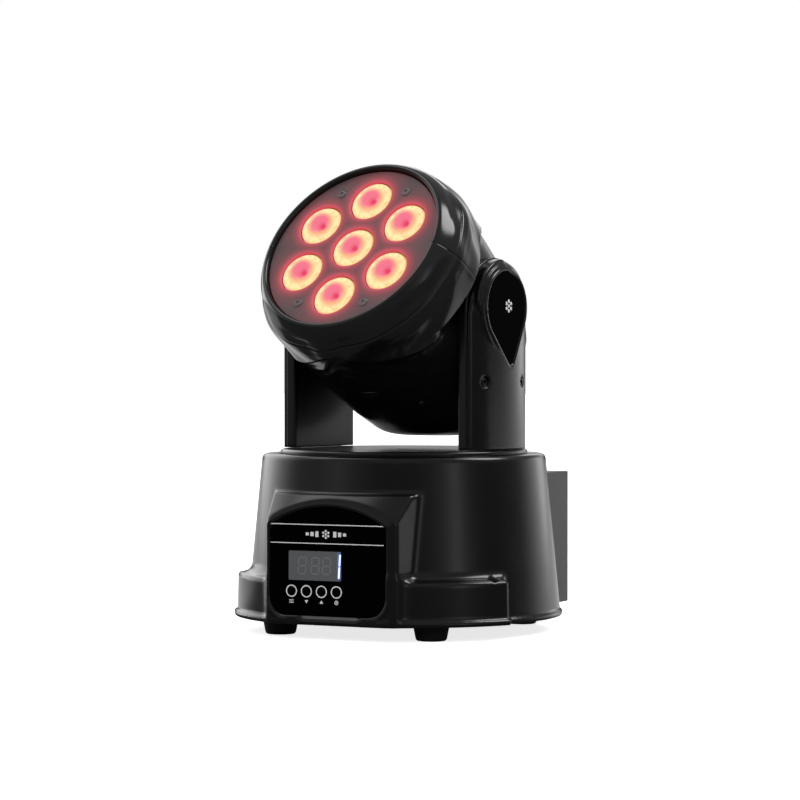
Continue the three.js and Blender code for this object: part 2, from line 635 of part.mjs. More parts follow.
function buildYoke(root) {
  const yoke = new THREE.Group();
  yoke.rotation.z = REST_PAN;
  root.add(yoke);
  const plate = solid(disc(64, YOKE_PLATE_Z, YOKE_PLATE_Z + STEEL, ROUND))
    .subtract(solid(disc(SHAFT_R + GAP, 0, 200)));
  piece(yoke, "yoke_base_plate", plate, PAINTED_STEEL);
  piece(yoke, "turntable_cover", turntable(), BLACK_ABS);
  piece(yoke, "pan_shaft", solid(panShaft()), STEEL_GREY);
  piece(yoke, "pan_pulley", solid(pulley(PAN_PULLEY_R, SHAFT_R + GAP, 82, 88)), ALUMINIUM);
  for (const [name, side] of [["right", 1], ["left", -1]]) {
    const arm = new THREE.Group();
    arm.position.z = PIVOT_Z;
    yoke.add(arm);
    piece(arm, `arm_${name}_inner_cover`, onSide(innerArmCover(), side), BLACK_ABS);
    piece(arm, `arm_${name}_outer_cover`, onSide(outerArmCover(), side), BLACK_ABS);
    piece(arm, `arm_${name}_badge`, onSide(badgePlate(), side), GLOSS_BLACK);
    piece(arm, `arm_${name}_bracket`, onSide(armBracket(), side), STEEL_GREY);
    piece(arm, `tilt_axle_${name}`, onSide(solid(axle(side > 0 ? 36.5 : 43)), side), STEEL_GREY);
  }
  const fixed = solid(alongX(pulley(TILT_PULLEY_R, AXLE_R + GAP, 36.8, 42.2)));
  piece(yoke, "tilt_fixed_pulley", fixed, ALUMINIUM).position.z = PIVOT_Z;
}

// ---- Head ----

// The shell's solid, shrunk by inset: a turned body trimmed by its side outline and its plan outline.
function headBody(inset) {
  const rear = -65 + inset;
  const round = [
    [-65, 41], [-60, 47.8], [-46, 53.3], [-28, 56.6], [8, 60.8], [24, 63.2], [40, 63.4],
    [46, 63], [52, 61.8], [57, 59.5], [62, 56.3], [63.9, 54.6],
  ];
  const side = [[-65, 33.5], [-60, 42], [-46, 51.6], [-28, 56.2], [8, 60.8], [13, 70], [70, 70]];
  const plan = [[-65, 35], [-58, 44], [-40, FLAT_X], [FLAT_END_S, FLAT_X], [FLAT_END_S, 70], [70, 70]];
  const front = 64.5 - inset;
  const shrunk = (points) => points.map(([s, r]) => [Math.max(s, rear), r - inset]);
  const step = (points) => shrunk(points).map(([s, r], i) => [points[i][1] === 70 ? s + inset : s, r]);
  const profile = shrunk(round).map(([s, r]) => [r, s]);
  const body = solid(alongFront(turned([[0, rear], ...profile, [53.7 - inset, front], [0, front]])));
  const both = (points) => {
    const right = step(points).map(([s, r]) => [r, -s]);
    return polygon([...right, ...right.map(([r, y]) => [-r, y]).reverse()]);
  };
  const sideOutline = both(side);
  const sideCut = solid(raised(sideOutline, -80, 80).rotateY(Math.PI / 2));
  const planCut = solid(raised(both(plan), -80, 80));
  return body.intersect(sideCut).intersect(planCut);
}

// Vent slots through the rear wall, clear of the seam.
function rearVents() {
  return sum(...[-22.5, -15, -7.5, 7.5, 15, 22.5].map((z) => {
    const half = 26 - Math.abs(z) / 3;
    return solid(box(-half, half, 55, 75, z - 1.8, z + 1.8));
  }));
}

function headShell(upper) {
  const mouth = solid(alongFront(turned([
    [0, 20], [49, 20], [49, 59.2], [FACE_R + GAP, 59.2], [FACE_R + GAP, 63.6], [53.6, 67], [0, 67],
  ])));
  const bearings = [-1, 1].map((side) => solid(alongX(disc(BEARING_R + GAP, 40, 60)).scale(side, 1, 1)));
  const [r, flat] = [WALL, FLAT_X - WALL];
  const cavity = solid(alongFront(turned([
    [0, -62], [35 - r, -62], [48 - r, -50], [56.5 - r, -28],
    [60 - r, 8], [60 - r, 50], [56.5 - r, 57], [0, 57],
  ]))).intersect(solid(raised(polygon([
    [-30, 62], [-42, 53], [-flat, 38], [-flat, -57], [flat, -57], [flat, 38], [42, 53], [30, 62],
  ]), -80, 80))).intersect(solid(box(-80, 80, -80, 80, -53, 53)));
  const half = solid(box(-80, 80, -80, 80, 0.15, 80)).intersect(headBody(0));
  const whole = upper ? half : solid(box(-80, 80, -80, 80, -80, -0.15)).intersect(headBody(0));
  return whole.subtract(sum(cavity, mouth, ...bearings)).subtract(rearVents());
}

// The seven lens centres as [x, z] on the face, the middle one first.
const lensCentres = [[0, 0], ...[90, 30, -30, -90, -150, 150].map((angle) => polar(LENS_PITCH, angle))];

function facePlate() {
  const holes = lensCentres.map(([x, z]) =>
    solid(alongFront(disc(LENS_HOLE_R, 50, 70)).translate(x, 0, z)));
  const screws = [60, 120, 240, 300].map((angle) => {
    const [x, z] = polar(SCREW_CIRCLE_R, angle);
    return solid(alongFront(disc(2.9, FACE_S - 0.9, 70, 8)).translate(x, 0, z));
  });
  return solid(alongFront(disc(FACE_R, FACE_S - FACE_T, FACE_S, ROUND))).subtract(sum(...holes, ...screws));
}

const lens = () => alongFront(turned([
  [0, 53], [4.2, 53], [LENS_R, 59], [LENS_R, 60.8], [7, 60.2], [2, 58.4], [0, 58.4],
], ROUND_SMALL));

function ledBoard() {
  const chips = lensCentres.map(([x, z]) =>
    solid(alongFront(disc(3.2, 51.4, 52.6, 12)).translate(x, 0, z)));
  return sum(solid(alongFront(disc(47, 50, 51.6, ROUND))), ...chips);
}

function heatSink() {
  const plate = solid(alongFront(disc(46.5, 44.5, 49.7, ROUND)));
  const fins = [-4, -3, -2, -1, 0, 1, 2, 3, 4].map((i) =>
    solid(box(i * 9 - 0.9, i * 9 + 0.9, -45, -26, -50, 50)));
  return plate.add(sum(...fins).intersect(solid(alongFront(disc(44, 20, 46)))));
}

function fanFrame() {
  const [s0, s1] = FAN_S;
  const frame = solid(box(-30, 30, -s1, -s0, -30, 30))
    .subtract(solid(alongFront(disc(28.4, s0 - 1, s1 + 1))));
  const struts = [45, 135].map((angle) =>
    solid(box(-29, 29, -s0 - 1.2, -s0, -1.5, 1.5).rotateY(THREE.MathUtils.degToRad(angle))));
  return sum(frame, ...struts, solid(alongFront(disc(11, s0, s0 + 1.2))));
}

function fanRotor() {
  const [s0, s1] = FAN_S;
  const blades = Array.from({ length: 7 }, (_, i) => {
    const blade = new THREE.BoxGeometry(18, 11, 1.2).rotateX(THREE.MathUtils.degToRad(52));
    blade.translate(18.4, -(s0 + s1) / 2 - 0.6, 0);
    return solid(blade.rotateY((i * Math.PI * 2) / 7));
  });
  return sum(solid(alongFront(disc(10.5, s0 + 1.6, s1 - 0.6))), ...blades);
}

function tiltMotor() {
  const can = solid(alongX(disc(TILT_MOTOR.r, 4, 27)));
  return sum(can, solid(alongX(disc(5, 26, 34))), solid(alongX(disc(1.5, 33, 43, 10))));
}

function buildHead(root) {
  const turn = new THREE.Group();
  turn.rotation.z = REST_PAN;
  turn.position.z = PIVOT_Z;
  root.add(turn);
  const head = new THREE.Group();
  head.rotation.x = -REST_TILT;
  turn.add(head);
  piece(head, "head_shell_upper", headShell(true), BLACK_ABS);
  piece(head, "head_shell_lower", headShell(false), BLACK_ABS);
  piece(head, "face_plate", facePlate(), FACE_GREY);
  lensCentres.forEach(([x, z], i) => {
    piece(head, `lens_${i + 1}`, solid(lens()), LENS_CLEAR).position.set(x, 0, z);
  });
  piece(head, "led_board", ledBoard(), CIRCUIT);
  piece(head, "heat_sink", heatSink(), ALUMINIUM);
  piece(head, "fan_frame", fanFrame(), DARK_PLASTIC);
  piece(head, "fan_rotor", fanRotor(), DARK_PLASTIC);
  const motorAt = [0, -TILT_MOTOR.s, TILT_MOTOR.w];
  piece(head, "tilt_motor", tiltMotor(), DARK_PLASTIC).position.set(...motorAt);
  const pinion = solid(alongX(pulley(TILT_PINION_R, 1.9, 36.8, 42.2, 12)));
  piece(head, "tilt_motor_pulley", pinion, ALUMINIUM).position.set(...motorAt);
  const distance = Math.hypot(TILT_MOTOR.s, TILT_MOTOR.w);
  const loop = alongX(belt(TILT_PULLEY_R, TILT_PINION_R, distance, 38, 41).rotateZ(
    Math.atan2(-TILT_MOTOR.s, -TILT_MOTOR.w)));
  piece(head, "tilt_belt", solid(loop), RUBBER);
  for (const [name, side] of [["right", 1], ["left", -1]]) {
    const ring = solid(alongX(tube(BEARING_R, AXLE_R + GAP, 45.2, FLAT_X)).scale(side, 1, 1));
    piece(head, `tilt_bearing_${name}`, ring, STEEL_GREY);
  }
}

const light = new THREE.Group();
buildBase(light);
buildYoke(light);
buildHead(light);

export default light;
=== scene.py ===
"""Looks of the moving head light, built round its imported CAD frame.
Shapes are written in millimetres, in the frame of the body that they ride on, and placed from the frame."""
import json
import math

import bmesh
import bpy
import numpy as np
from mathutils import Matrix, Vector
from mathutils.geometry import tessellate_polygon


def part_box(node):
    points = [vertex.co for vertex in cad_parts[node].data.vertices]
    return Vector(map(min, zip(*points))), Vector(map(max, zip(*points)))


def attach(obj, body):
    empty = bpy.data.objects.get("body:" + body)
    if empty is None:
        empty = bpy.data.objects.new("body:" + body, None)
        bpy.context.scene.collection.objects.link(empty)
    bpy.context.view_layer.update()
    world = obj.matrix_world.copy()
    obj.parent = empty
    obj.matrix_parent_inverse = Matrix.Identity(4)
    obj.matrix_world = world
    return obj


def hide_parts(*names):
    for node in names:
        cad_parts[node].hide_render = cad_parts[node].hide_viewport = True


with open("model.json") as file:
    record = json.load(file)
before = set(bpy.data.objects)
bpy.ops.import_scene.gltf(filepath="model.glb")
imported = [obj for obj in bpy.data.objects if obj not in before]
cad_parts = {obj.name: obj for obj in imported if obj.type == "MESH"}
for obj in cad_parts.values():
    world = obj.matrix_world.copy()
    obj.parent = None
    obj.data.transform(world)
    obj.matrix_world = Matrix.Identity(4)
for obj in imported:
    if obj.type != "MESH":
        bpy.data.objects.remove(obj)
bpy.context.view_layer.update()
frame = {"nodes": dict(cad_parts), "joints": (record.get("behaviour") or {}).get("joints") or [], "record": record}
MM = 0.001

# ---------- camera
CAM_TURN = math.radians(26.5)
CAM_YAW = math.radians(0.08)
CAM_PITCH = math.radians(-0.68)
CAM_DISTANCE = 1.6
CAM_HEIGHT = 0.1458
camera = bpy.data.objects.new("camera", bpy.data.cameras.new("camera"))
bpy.context.scene.collection.objects.link(camera)
bpy.context.scene.camera = camera
camera.data.sensor_width = 36.0
camera.data.lens = 129.6
camera.data.clip_start, camera.data.clip_end = 0.05, 50
camera.location = (CAM_DISTANCE * math.sin(CAM_TURN), -CAM_DISTANCE * math.cos(CAM_TURN), CAM_HEIGHT)
aim = CAM_TURN + CAM_YAW
look = Vector((-math.sin(aim) * math.cos(CAM_PITCH), math.cos(aim) * math.cos(CAM_PITCH), math.sin(CAM_PITCH)))
camera.rotation_mode = "QUATERNION"
camera.rotation_quaternion = look.to_track_quat("-Z", "Y")

# ---------- frames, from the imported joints
joints = {j["name"]: j for j in frame["joints"]}
pivot = Vector(joints["tilt"]["pos_m"]) / MM
across = -Vector(joints["tilt"]["axis"])
optical = Vector(joints["fan_spin"]["axis"])  # the head's forward direction
YOKE = Matrix.Rotation(math.atan2(across.y, across.x), 4, "Z")
ARM = Matrix.Translation(pivot) @ YOKE
HEAD = ARM @ Matrix.Rotation(-math.asin(optical.z), 4, "X")
BASE = Matrix.Identity(4)
TO_Y = Matrix.Rotation(math.radians(-90), 4, "X")  # a turned piece's axis to +Y
TO_FRONT = Matrix.Rotation(math.radians(90), 4, "X")  # and to -Y
TO_X = Matrix.Rotation(math.radians(90), 4, "Y")


def at(x, y, z):
    return Matrix.Translation((x, y, z))


def middle(node):
    """The centre of a CAD node's box, in millimetres."""
    lo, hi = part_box(node)
    return (lo + hi) / 2 / MM


# ---------- materials
def node(tree, kind, inputs=(), **values):
    """A node. A value is set on the input of that name, or linked to it if it is a socket, or else is a setting."""
    made = tree.nodes.new(kind)
    for key, value in {**values, **dict(inputs)}.items():
        if isinstance(key, str) and key not in made.inputs:
            setattr(made, key, value)
        elif isinstance(value, bpy.types.NodeSocket):
            tree.links.new(value, made.inputs[key])
        else:
            made.inputs[key].default_value = value
    return made


def calculated(tree, operation, *values):
    """A Math node's result, from numbers or sockets."""
    return node(tree, "ShaderNodeMath", dict(enumerate(values)), operation=operation).outputs["Value"]


def mapped(tree, source, low, high, to_low=0.0, to_high=1.0, smooth=False):
    """A value taken from one range to another."""
    limits = {"Value": source, "From Min": low, "From Max": high, "To Min": to_low, "To Max": to_high}
    kind = "SMOOTHSTEP" if smooth else "LINEAR"
    return node(tree, "ShaderNodeMapRange", limits, interpolation_type=kind).outputs["Result"]


def mixed(tree, factor, a, b):
    """One colour mixed with another."""
    return node(tree, "ShaderNodeMix", {"Factor": factor, "A": a, "B": b}, data_type="RGBA").outputs["Result"]


def color_ramp(tree, source, stops):
    """Colours by value, from (position, colour) stops."""
    made = node(tree, "ShaderNodeValToRGB", Fac=source)
    elements = made.color_ramp.elements
    elements[0].position, elements[0].color = stops[0]
    elements[1].position, elements[1].color = stops[-1]
    for position, color in stops[1:-1]:
        elements.new(position).color = color
    return made.outputs["Color"]


def principled(name, color, roughness, metallic=0.0, coat=0.0, level=0.5):
    material = bpy.data.materials.new(name)
    material.use_nodes = True
    shader = material.node_tree.nodes["Principled BSDF"]
    shader.inputs["Base Color"].default_value = (*color, 1)
    shader.inputs["Roughness"].default_value = roughness
    shader.inputs["Metallic"].default_value = metallic
    shader.inputs["Coat Weight"].default_value = coat
    shader.inputs["Coat Roughness"].default_value = 0.06
    shader.inputs["Specular IOR Level"].default_value = level
    return material, material.node_tree, shader


def surface(name, color, roughness, grain=0.3, bump=0.1, spread=0.08, tint=0.15, metallic=0.0, coat=0.0, stretch=None,
            level=0.5):
    """A finish with a fine grain (its size in mm), uneven gloss, a slight change of tone and a painted highlight on
    edges.
    """
    material, tree, shader = principled(name, color, roughness, metallic, coat, level)
    place = node(tree, "ShaderNodeTexCoord").outputs["Object"]
    spot = node(tree, "ShaderNodeMapping", Vector=place, Scale=stretch or (1, 1, 1)).outputs["Vector"]
    fine = node(tree, "ShaderNodeTexNoise", Vector=spot, Scale=1 / (grain * MM), Detail=2.0, Roughness=0.55)
    broad = node(tree, "ShaderNodeTexNoise", Vector=spot, Scale=42.0, Detail=5.0, Roughness=0.6).outputs["Fac"]
    smudge = node(tree, "ShaderNodeTexNoise", Vector=spot, Scale=160.0, Detail=3.0, Roughness=0.7).outputs["Fac"]
    uneven = calculated(tree, "ADD", mapped(tree, broad, 0, 1, roughness - spread, roughness + spread),
                        mapped(tree, smudge, 0, 1, -spread / 2, spread / 2))
    tree.links.new(uneven, shader.inputs["Roughness"])
    # Painted highlight: the base colour is lightened on sharp edges, found by pointiness, standing in for light that
    # the edges catch.
    edge = mapped(tree, node(tree, "ShaderNodeNewGeometry").outputs["Pointiness"], 0.53, 0.66, 0.0, 0.35)
    darker = [c * (1 - tint) for c in color]
    lighter = [min(1.0, c * (1 + tint)) for c in color]
    edge_highlight = [min(1.0, c * 1.8 + 0.004) for c in color]
    tone = mixed(tree, broad, (*darker, 1), (*lighter, 1))
    tree.links.new(mixed(tree, edge, tone, (*edge_highlight, 1)), shader.inputs["Base Color"])
    if bump:
        bumped = node(tree, "ShaderNodeBump", Height=fine.outputs["Fac"], Strength=bump, Distance=grain * MM * 0.4)
        tree.links.new(bumped.outputs["Normal"], shader.inputs["Normal"])
    return material


def glowing(name, color, strength):
    material, _, shader = principled(name, (0.02, 0.02, 0.02), 0.3)
    shader.inputs["Emission Color"].default_value = (*color, 1)
    shader.inputs["Emission Strength"].default_value = strength
    return material


SHELL = surface("shell_abs", (0.0022, 0.0022, 0.0023), 0.19, grain=0.35, bump=0.04, spread=0.035)
INNER_SHELL = surface("inner_shell_abs", (0.0026, 0.0026, 0.0027), 0.31, grain=0.35, bump=0.06, spread=0.04)
HEAD_ABS = surface("head_abs", (0.0080, 0.0085, 0.0085), 0.13, grain=0.5, bump=0.012, spread=0.03)
GLOSS = surface("gloss_panel", (0.0006, 0.0006, 0.0007), 0.08, grain=1.5, bump=0.004, spread=0.02, level=0.03)
BADGE_GLOSS = surface("gloss_badge", (0.0034, 0.0034, 0.0036), 0.3, grain=1.5, bump=0.006, spread=0.02, level=0.0)
PLATE_SATIN = surface("rear_powder_coat", (0.014, 0.014, 0.014), 0.42, grain=0.5, bump=0.3, spread=0.06)
RUBBER = surface("foot_rubber", (0.010, 0.010, 0.010), 0.6, grain=0.4, bump=0.5, spread=0.08, level=0.4)
ZINC = surface("zinc_steel", (0.52, 0.53, 0.54), 0.33, grain=0.6, bump=0.12, metallic=1.0)
DARK_SCREW = surface("black_screw", (0.03, 0.03, 0.032), 0.3, grain=0.4, bump=0.1, metallic=0.9)
FACE_SCREW = surface("face_screw_grey", (0.14, 0.115, 0.115), 0.4, grain=0.4, bump=0.1, metallic=0.7)
ALU = surface("machined_aluminium", (0.68, 0.69, 0.7), 0.3, grain=0.5, bump=0.15, metallic=1.0, stretch=(1, 1, 8))
BOARD = surface("circuit_board", (0.02, 0.16, 0.07), 0.35, grain=1.2, bump=0.2)
SOCKET = surface("socket_nylon", (0.006, 0.006, 0.0065), 0.4, grain=0.4, bump=0.2)
PRINT = surface("white_print", (0.82, 0.82, 0.81), 0.5, grain=0.2, bump=0.1, tint=0.03)
WINDOW = surface("display_window", (0.125, 0.130, 0.137), 0.22, grain=0.8, bump=0.02, tint=0.06, level=0.2)
GHOST = surface("dark_segment", (0.168, 0.174, 0.184), 0.3, grain=0.8, bump=0.02, tint=0.04, level=0.2)
LIT = glowing("lit_segment", (0.62, 0.74, 1.0), 1.7)
LIT_HALO = glowing("lit_halo", (0.10, 0.20, 0.62), 0.55)
MOTOR = surface("motor_black", (0.02, 0.02, 0.022), 0.4, grain=0.5, bump=0.2)
BY_SLOT = {
    "black_shell": SHELL, "gloss_black": GLOSS, "face_grey": SHELL, "rubber": RUBBER, "painted_steel": PLATE_SATIN,
    "steel": ZINC, "aluminium": ALU, "circuit": BOARD, "lens": GLOSS, "display": WINDOW, "dark_plastic": SOCKET,
    "motor": MOTOR,
}


# ---------- mesh tools
def finish_mesh(mesh, angle):
    for polygon in mesh.polygons:
        polygon.use_smooth = True
    if angle:
        mesh.set_sharp_from_angle(angle=math.radians(angle))


def add(name, verts, faces, place, material, body, nodes=(), slot=None, angle=35, bevel=0.0):
    """A mesh from millimetres in a local frame, riding on a body."""
    points = np.asarray(verts, float)
    matrix = np.array(place)
    points = (points @ matrix[:3, :3].T + matrix[:3, 3]) * MM
    mesh = bpy.data.meshes.new(name)
    mesh.from_pydata(points.tolist(), [], [list(map(int, f)) for f in faces])
    mesh.validate()
    tidy = bmesh.new()
    tidy.from_mesh(mesh)
    bmesh.ops.recalc_face_normals(tidy, faces=tidy.faces)
    tidy.to_mesh(mesh)
    tidy.free()
    finish_mesh(mesh, angle)
    mesh.materials.append(material)
    made = bpy.data.objects.new(name, mesh)
    bpy.context.scene.collection.objects.link(made)
    if bevel:
        round_edges(made, bevel)
    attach(made, body)
    if nodes:
        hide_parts(*nodes)
    return made


def round_edges(made, width):
    modifier = made.modifiers.new("round", "BEVEL")
    modifier.width = width * MM
    modifier.segments = 3
    modifier.limit_method = "ANGLE"
    modifier.angle_limit = math.radians(30)
    modifier.harden_normals = True


def lathe(profile, segments=64, radius=None):
    """Vertices and faces of a profile of (r, z) turned about Z. radius(i, angle, r) may bend a ring."""
    verts, faces, rings = [], [], []
    for i, (r, z) in enumerate(profile):
        if r < 1e-6:
            rings.append([len(verts)] * segments)
            verts.append((0, 0, z))
            continue
        rings.append(list(range(len(verts), len(verts) + segments)))
        for k in range(segments):
            angle = 2 * math.pi * k / segments
            rr = radius(i, angle, r) if radius else r
            verts.append((rr * math.cos(angle), rr * math.sin(angle), z))
    closed = profile[0][0] > 1e-6
    pairs = list(zip(rings, rings[1:] + rings[:1])) if closed else list(zip(rings, rings[1:]))
    for a, b in pairs:
        for k in range(segments):
            quad = [a[k], a[(k + 1) % segments], b[(k + 1) % segments], b[k]]
            face = [v for j, v in enumerate(quad) if v not in quad[:j]]
            if len(face) > 2:
                faces.append(face)
    return verts, faces


def softened(profile, radius, steps=4):
    """The profile with each corner off the axis rounded."""
    done = [profile[0]]
    for (ax, ay), (bx, by), (cx, cy) in zip(profile, profile[1:], profile[2:]):
        corner, u, v = Vector((bx, by)), Vector((ax - bx, ay - by)), Vector((cx - bx, cy - by))
        cut = min(radius, u.length * 0.45, v.length * 0.45)
        p, q = corner + u.normalized() * cut, corner + v.normalized() * cut
        for k in range(steps + 1):
            t = k / steps
            done.append(tuple(p * (1 - t) ** 2 + corner * 2 * t * (1 - t) + q * t * t))
    done.append(profile[-1])
    return done


def polar(r, degrees):
    return r * math.cos(math.radians(degrees)), r * math.sin(math.radians(degrees))


def circle(x, y, r, count):
    return [(x + r * math.cos(2 * math.pi * k / count), y + r * math.sin(2 * math.pi * k / count))
            for k in range(count)]


def rounded_rect(x0, x1, y0, y1, r, steps=6):
    points = []
    for cx, cy, start in ((x1 - r, y1 - r, 0), (x0 + r, y1 - r, 90), (x0 + r, y0 + r, 180), (x1 - r, y0 + r, 270)):
        for k in range(steps + 1):
            dx, dy = polar(r, start + 90 * k / steps)
            points.append((cx + dx, cy + dy))
    return points


def plate(name, loops, z0, z1, place, material, body, nodes=(), slot=None, bevel=0.15):
    """A flat plate with holes, from z0 to z1 in its own frame: the first loop is the outline, the rest are holes."""
    curve = bpy.data.curves.new(name, "CURVE")
    curve.dimensions = "2D"
    curve.fill_mode = "BOTH"
    curve.extrude = (z1 - z0) / 2 - bevel
    curve.bevel_depth = bevel
    curve.bevel_resolution = 2
    curve.offset = -bevel
    for loop in loops:
        spline = curve.splines.new("POLY")
        spline.points.add(len(loop) - 1)
        for point, (x, y) in zip(spline.points, loop):
            point.co = (x, y, 0, 1)
        spline.use_cyclic_u = True
    shape = bpy.data.objects.new(name + "_curve", curve)
    bpy.context.scene.collection.objects.link(shape)
    bpy.context.view_layer.update()
    mesh = bpy.data.meshes.new_from_object(shape.evaluated_get(bpy.context.evaluated_depsgraph_get()))
    tidy = bmesh.new()
    tidy.from_mesh(mesh)
    bmesh.ops.remove_doubles(tidy, verts=tidy.verts, dist=1e-4)
    verts = [(v.co.x, v.co.y, v.co.z + (z0 + z1) / 2) for v in tidy.verts]
    faces = [[v.index for v in f.verts] for f in tidy.faces]
    tidy.free()
    bpy.data.objects.remove(shape)
    bpy.data.curves.remove(curve)
    bpy.data.meshes.remove(mesh)
    made = add(name, verts, faces, place, material, body, nodes, slot, angle=40)
    facing = (place.to_3x3() @ Vector((0, 0, 1))).normalized()
    for polygon in made.data.polygons:
        polygon.use_smooth = abs(polygon.normal.dot(facing)) < 0.999
    return made


# Distance fields are negative inside. smin joins two shapes and smax cuts one with another, both with a fillet of k.
def smin(a, b, k):
    h = np.clip(0.5 + 0.5 * (b - a) / k, 0, 1)
    return b * (1 - h) + a * h - k * h * (1 - h)


def smax(a, b, k):
    return -smin(-a, -b, k)


def step(a, b, v):
    """0 before a and 1 after b, eased between them."""
    t = np.clip((v - a) / (b - a), 0, 1)
    return t * t * (3 - 2 * t)


def ridge(v, centre, width):
    """A bump of height 1 at the centre."""
    return np.exp(-((v - centre) / width) ** 2)


def net(field, low, high, size):
    """The zero surface of a distance field, as quads on a grid whose points are then moved onto the surface."""
    low = np.array(low, float)
    counts = [int(math.ceil((h - l) / size)) + 2 for l, h in zip(low, high)]
    axes = [low[i] - size / 2 + size * np.arange(counts[i]) for i in range(3)]
    grid = np.meshgrid(*axes, indexing="ij", sparse=True)
    values = np.broadcast_to(field(*grid), counts).astype(np.float32)
    inside = values < 0
    corners = [(i, j, k) for i in (0, 1) for j in (0, 1) for k in (0, 1)]
    total = sum(inside[i:counts[0] - 1 + i, j:counts[1] - 1 + j, k:counts[2] - 1 + k].astype(np.int8)
                for i, j, k in corners)
    cells = np.argwhere((total > 0) & (total < 8))
    at_corner = {c: values[cells[:, 0] + c[0], cells[:, 1] + c[1], cells[:, 2] + c[2]] for c in corners}
    offset, hits = np.zeros((len(cells), 3)), np.zeros(len(cells))
    for c in corners:
        for axis in range(3):
            if c[axis]:
                continue
            other = tuple(1 if i == axis else c[i] for i in range(3))
            a, b = at_corner[c], at_corner[other]
            crosses = (a < 0) != (b < 0)
            t = np.where(crosses, a / np.where(crosses, a - b, 1), 0)
            point = np.array(c, float) + np.outer(t, np.eye(3)[axis])
            offset += point * crosses[:, None]
            hits += crosses
    points = np.array([a[0] for a in axes]) + size * (cells + offset / hits[:, None])
    eps = 0.02
    for _ in range(4):
        here = field(*points.T)
        slope = np.stack([(field(*(points + eps * e).T) - field(*(points - eps * e).T)) / (2 * eps)
                          for e in np.eye(3)], 1)
        move = -here[:, None] * slope / np.maximum((slope ** 2).sum(1), 0.05)[:, None]
        points = points + np.clip(move, -0.4 * size, 0.4 * size)
    number = np.full([c - 1 for c in counts], -1, np.int64)
    number[tuple(cells.T)] = np.arange(len(cells))
    faces = []
    for axis in range(3):
        b, c = (axis + 1) % 3, (axis + 2) % 3
        first = [slice(1, -1)] * 3
        first[axis] = slice(0, -1)
        second = list(first)
        second[axis] = slice(1, None)
        start, end = inside[tuple(first)], inside[tuple(second)]
        found = np.argwhere(start != end)
        flip = start[tuple(found.T)]
        p = found + np.array([0 if i == axis else 1 for i in range(3)])
        eb, ec = np.eye(3, dtype=int)[b], np.eye(3, dtype=int)[c]
        quad = np.stack([number[tuple(q.T)] for q in (p, p - eb, p - eb - ec, p - ec)], 1)
        quad[~flip] = quad[~flip][:, ::-1]
        faces.append(quad[(quad >= 0).all(1)])
    return points, np.concatenate(faces)


# ---------- base
FLOOR_Z = 8.2
RIM_Z = 97.6
DRUM_R, DRUM_TAPER = 87.0, 0.0955
LEDGE_R, LEDGE_Z, LEDGE_END = 92.4, 32, math.radians(26)
LIP_R, FRONT_LIP_R = 88.0, 94.1
CUP_X, CUP_Y = polar(88.1, -31)  # the screw on each ledge
RECESS_R, RECESS_Z = 71.2, 93.0  # the turntable turns in it
GROOVE_R = 75.2
rear_low, rear_high = (corner.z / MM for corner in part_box("rear_connector_box"))
REAR_MID, REAR_HIGH = (rear_low + rear_high) / 2, (rear_high - rear_low) / 2 - 0.9
REAR_HALF_X = 60.4
FRONT_Y = -87.8
CONSOLE_HALF = 38.9
TOP_ARCH_R = 70.9
PANEL_X, PANEL_HALF, PANEL_LOW, PANEL_CORNER = -2.0, 34.6, 13.5, 10
PANEL_ARCH_Z, PANEL_ARCH_R = 8.7, 62


def fascia_distance(x, z):
    """Distance outside the control panel's outline: an arched top and two rounded lower corners."""
    qx, qz = np.abs(x - PANEL_X) - (PANEL_HALF - PANEL_CORNER), PANEL_LOW + PANEL_CORNER - z
    corner = np.hypot(np.maximum(qx, 0), np.maximum(qz, 0)) + np.minimum(np.maximum(qx, qz), 0) - PANEL_CORNER
    return np.maximum(corner, np.hypot(x - PANEL_X, z - PANEL_ARCH_Z) - PANEL_ARCH_R)


def console_field(x, y, z):
    """The console: a raised band round the panel, sides that widen to the rear, and a chamfered arch on top."""
    across_x = np.abs(x)
    back = y - FRONT_Y
    outside = fascia_distance(x, z)
    front = -back - 0.55 * step(0.8, 1.3, outside) * (1 - step(2.4, 3.2, outside))
    side = (across_x - CONSOLE_HALF) * 0.979 - back * 0.206
    along = np.clip(across_x / np.maximum(CONSOLE_HALF + back * 0.21, 1), 0, 1) * 38.8
    arch_z = 74.9 - TOP_ARCH_R + np.sqrt(TOP_ARCH_R ** 2 - along ** 2)
    top = smax((z - arch_z - back) * 0.68, z - 77.6, 0.8)
    body = smax(smax(front, side, 3.2), top, 1.5)
    return np.maximum(body, y + 58)


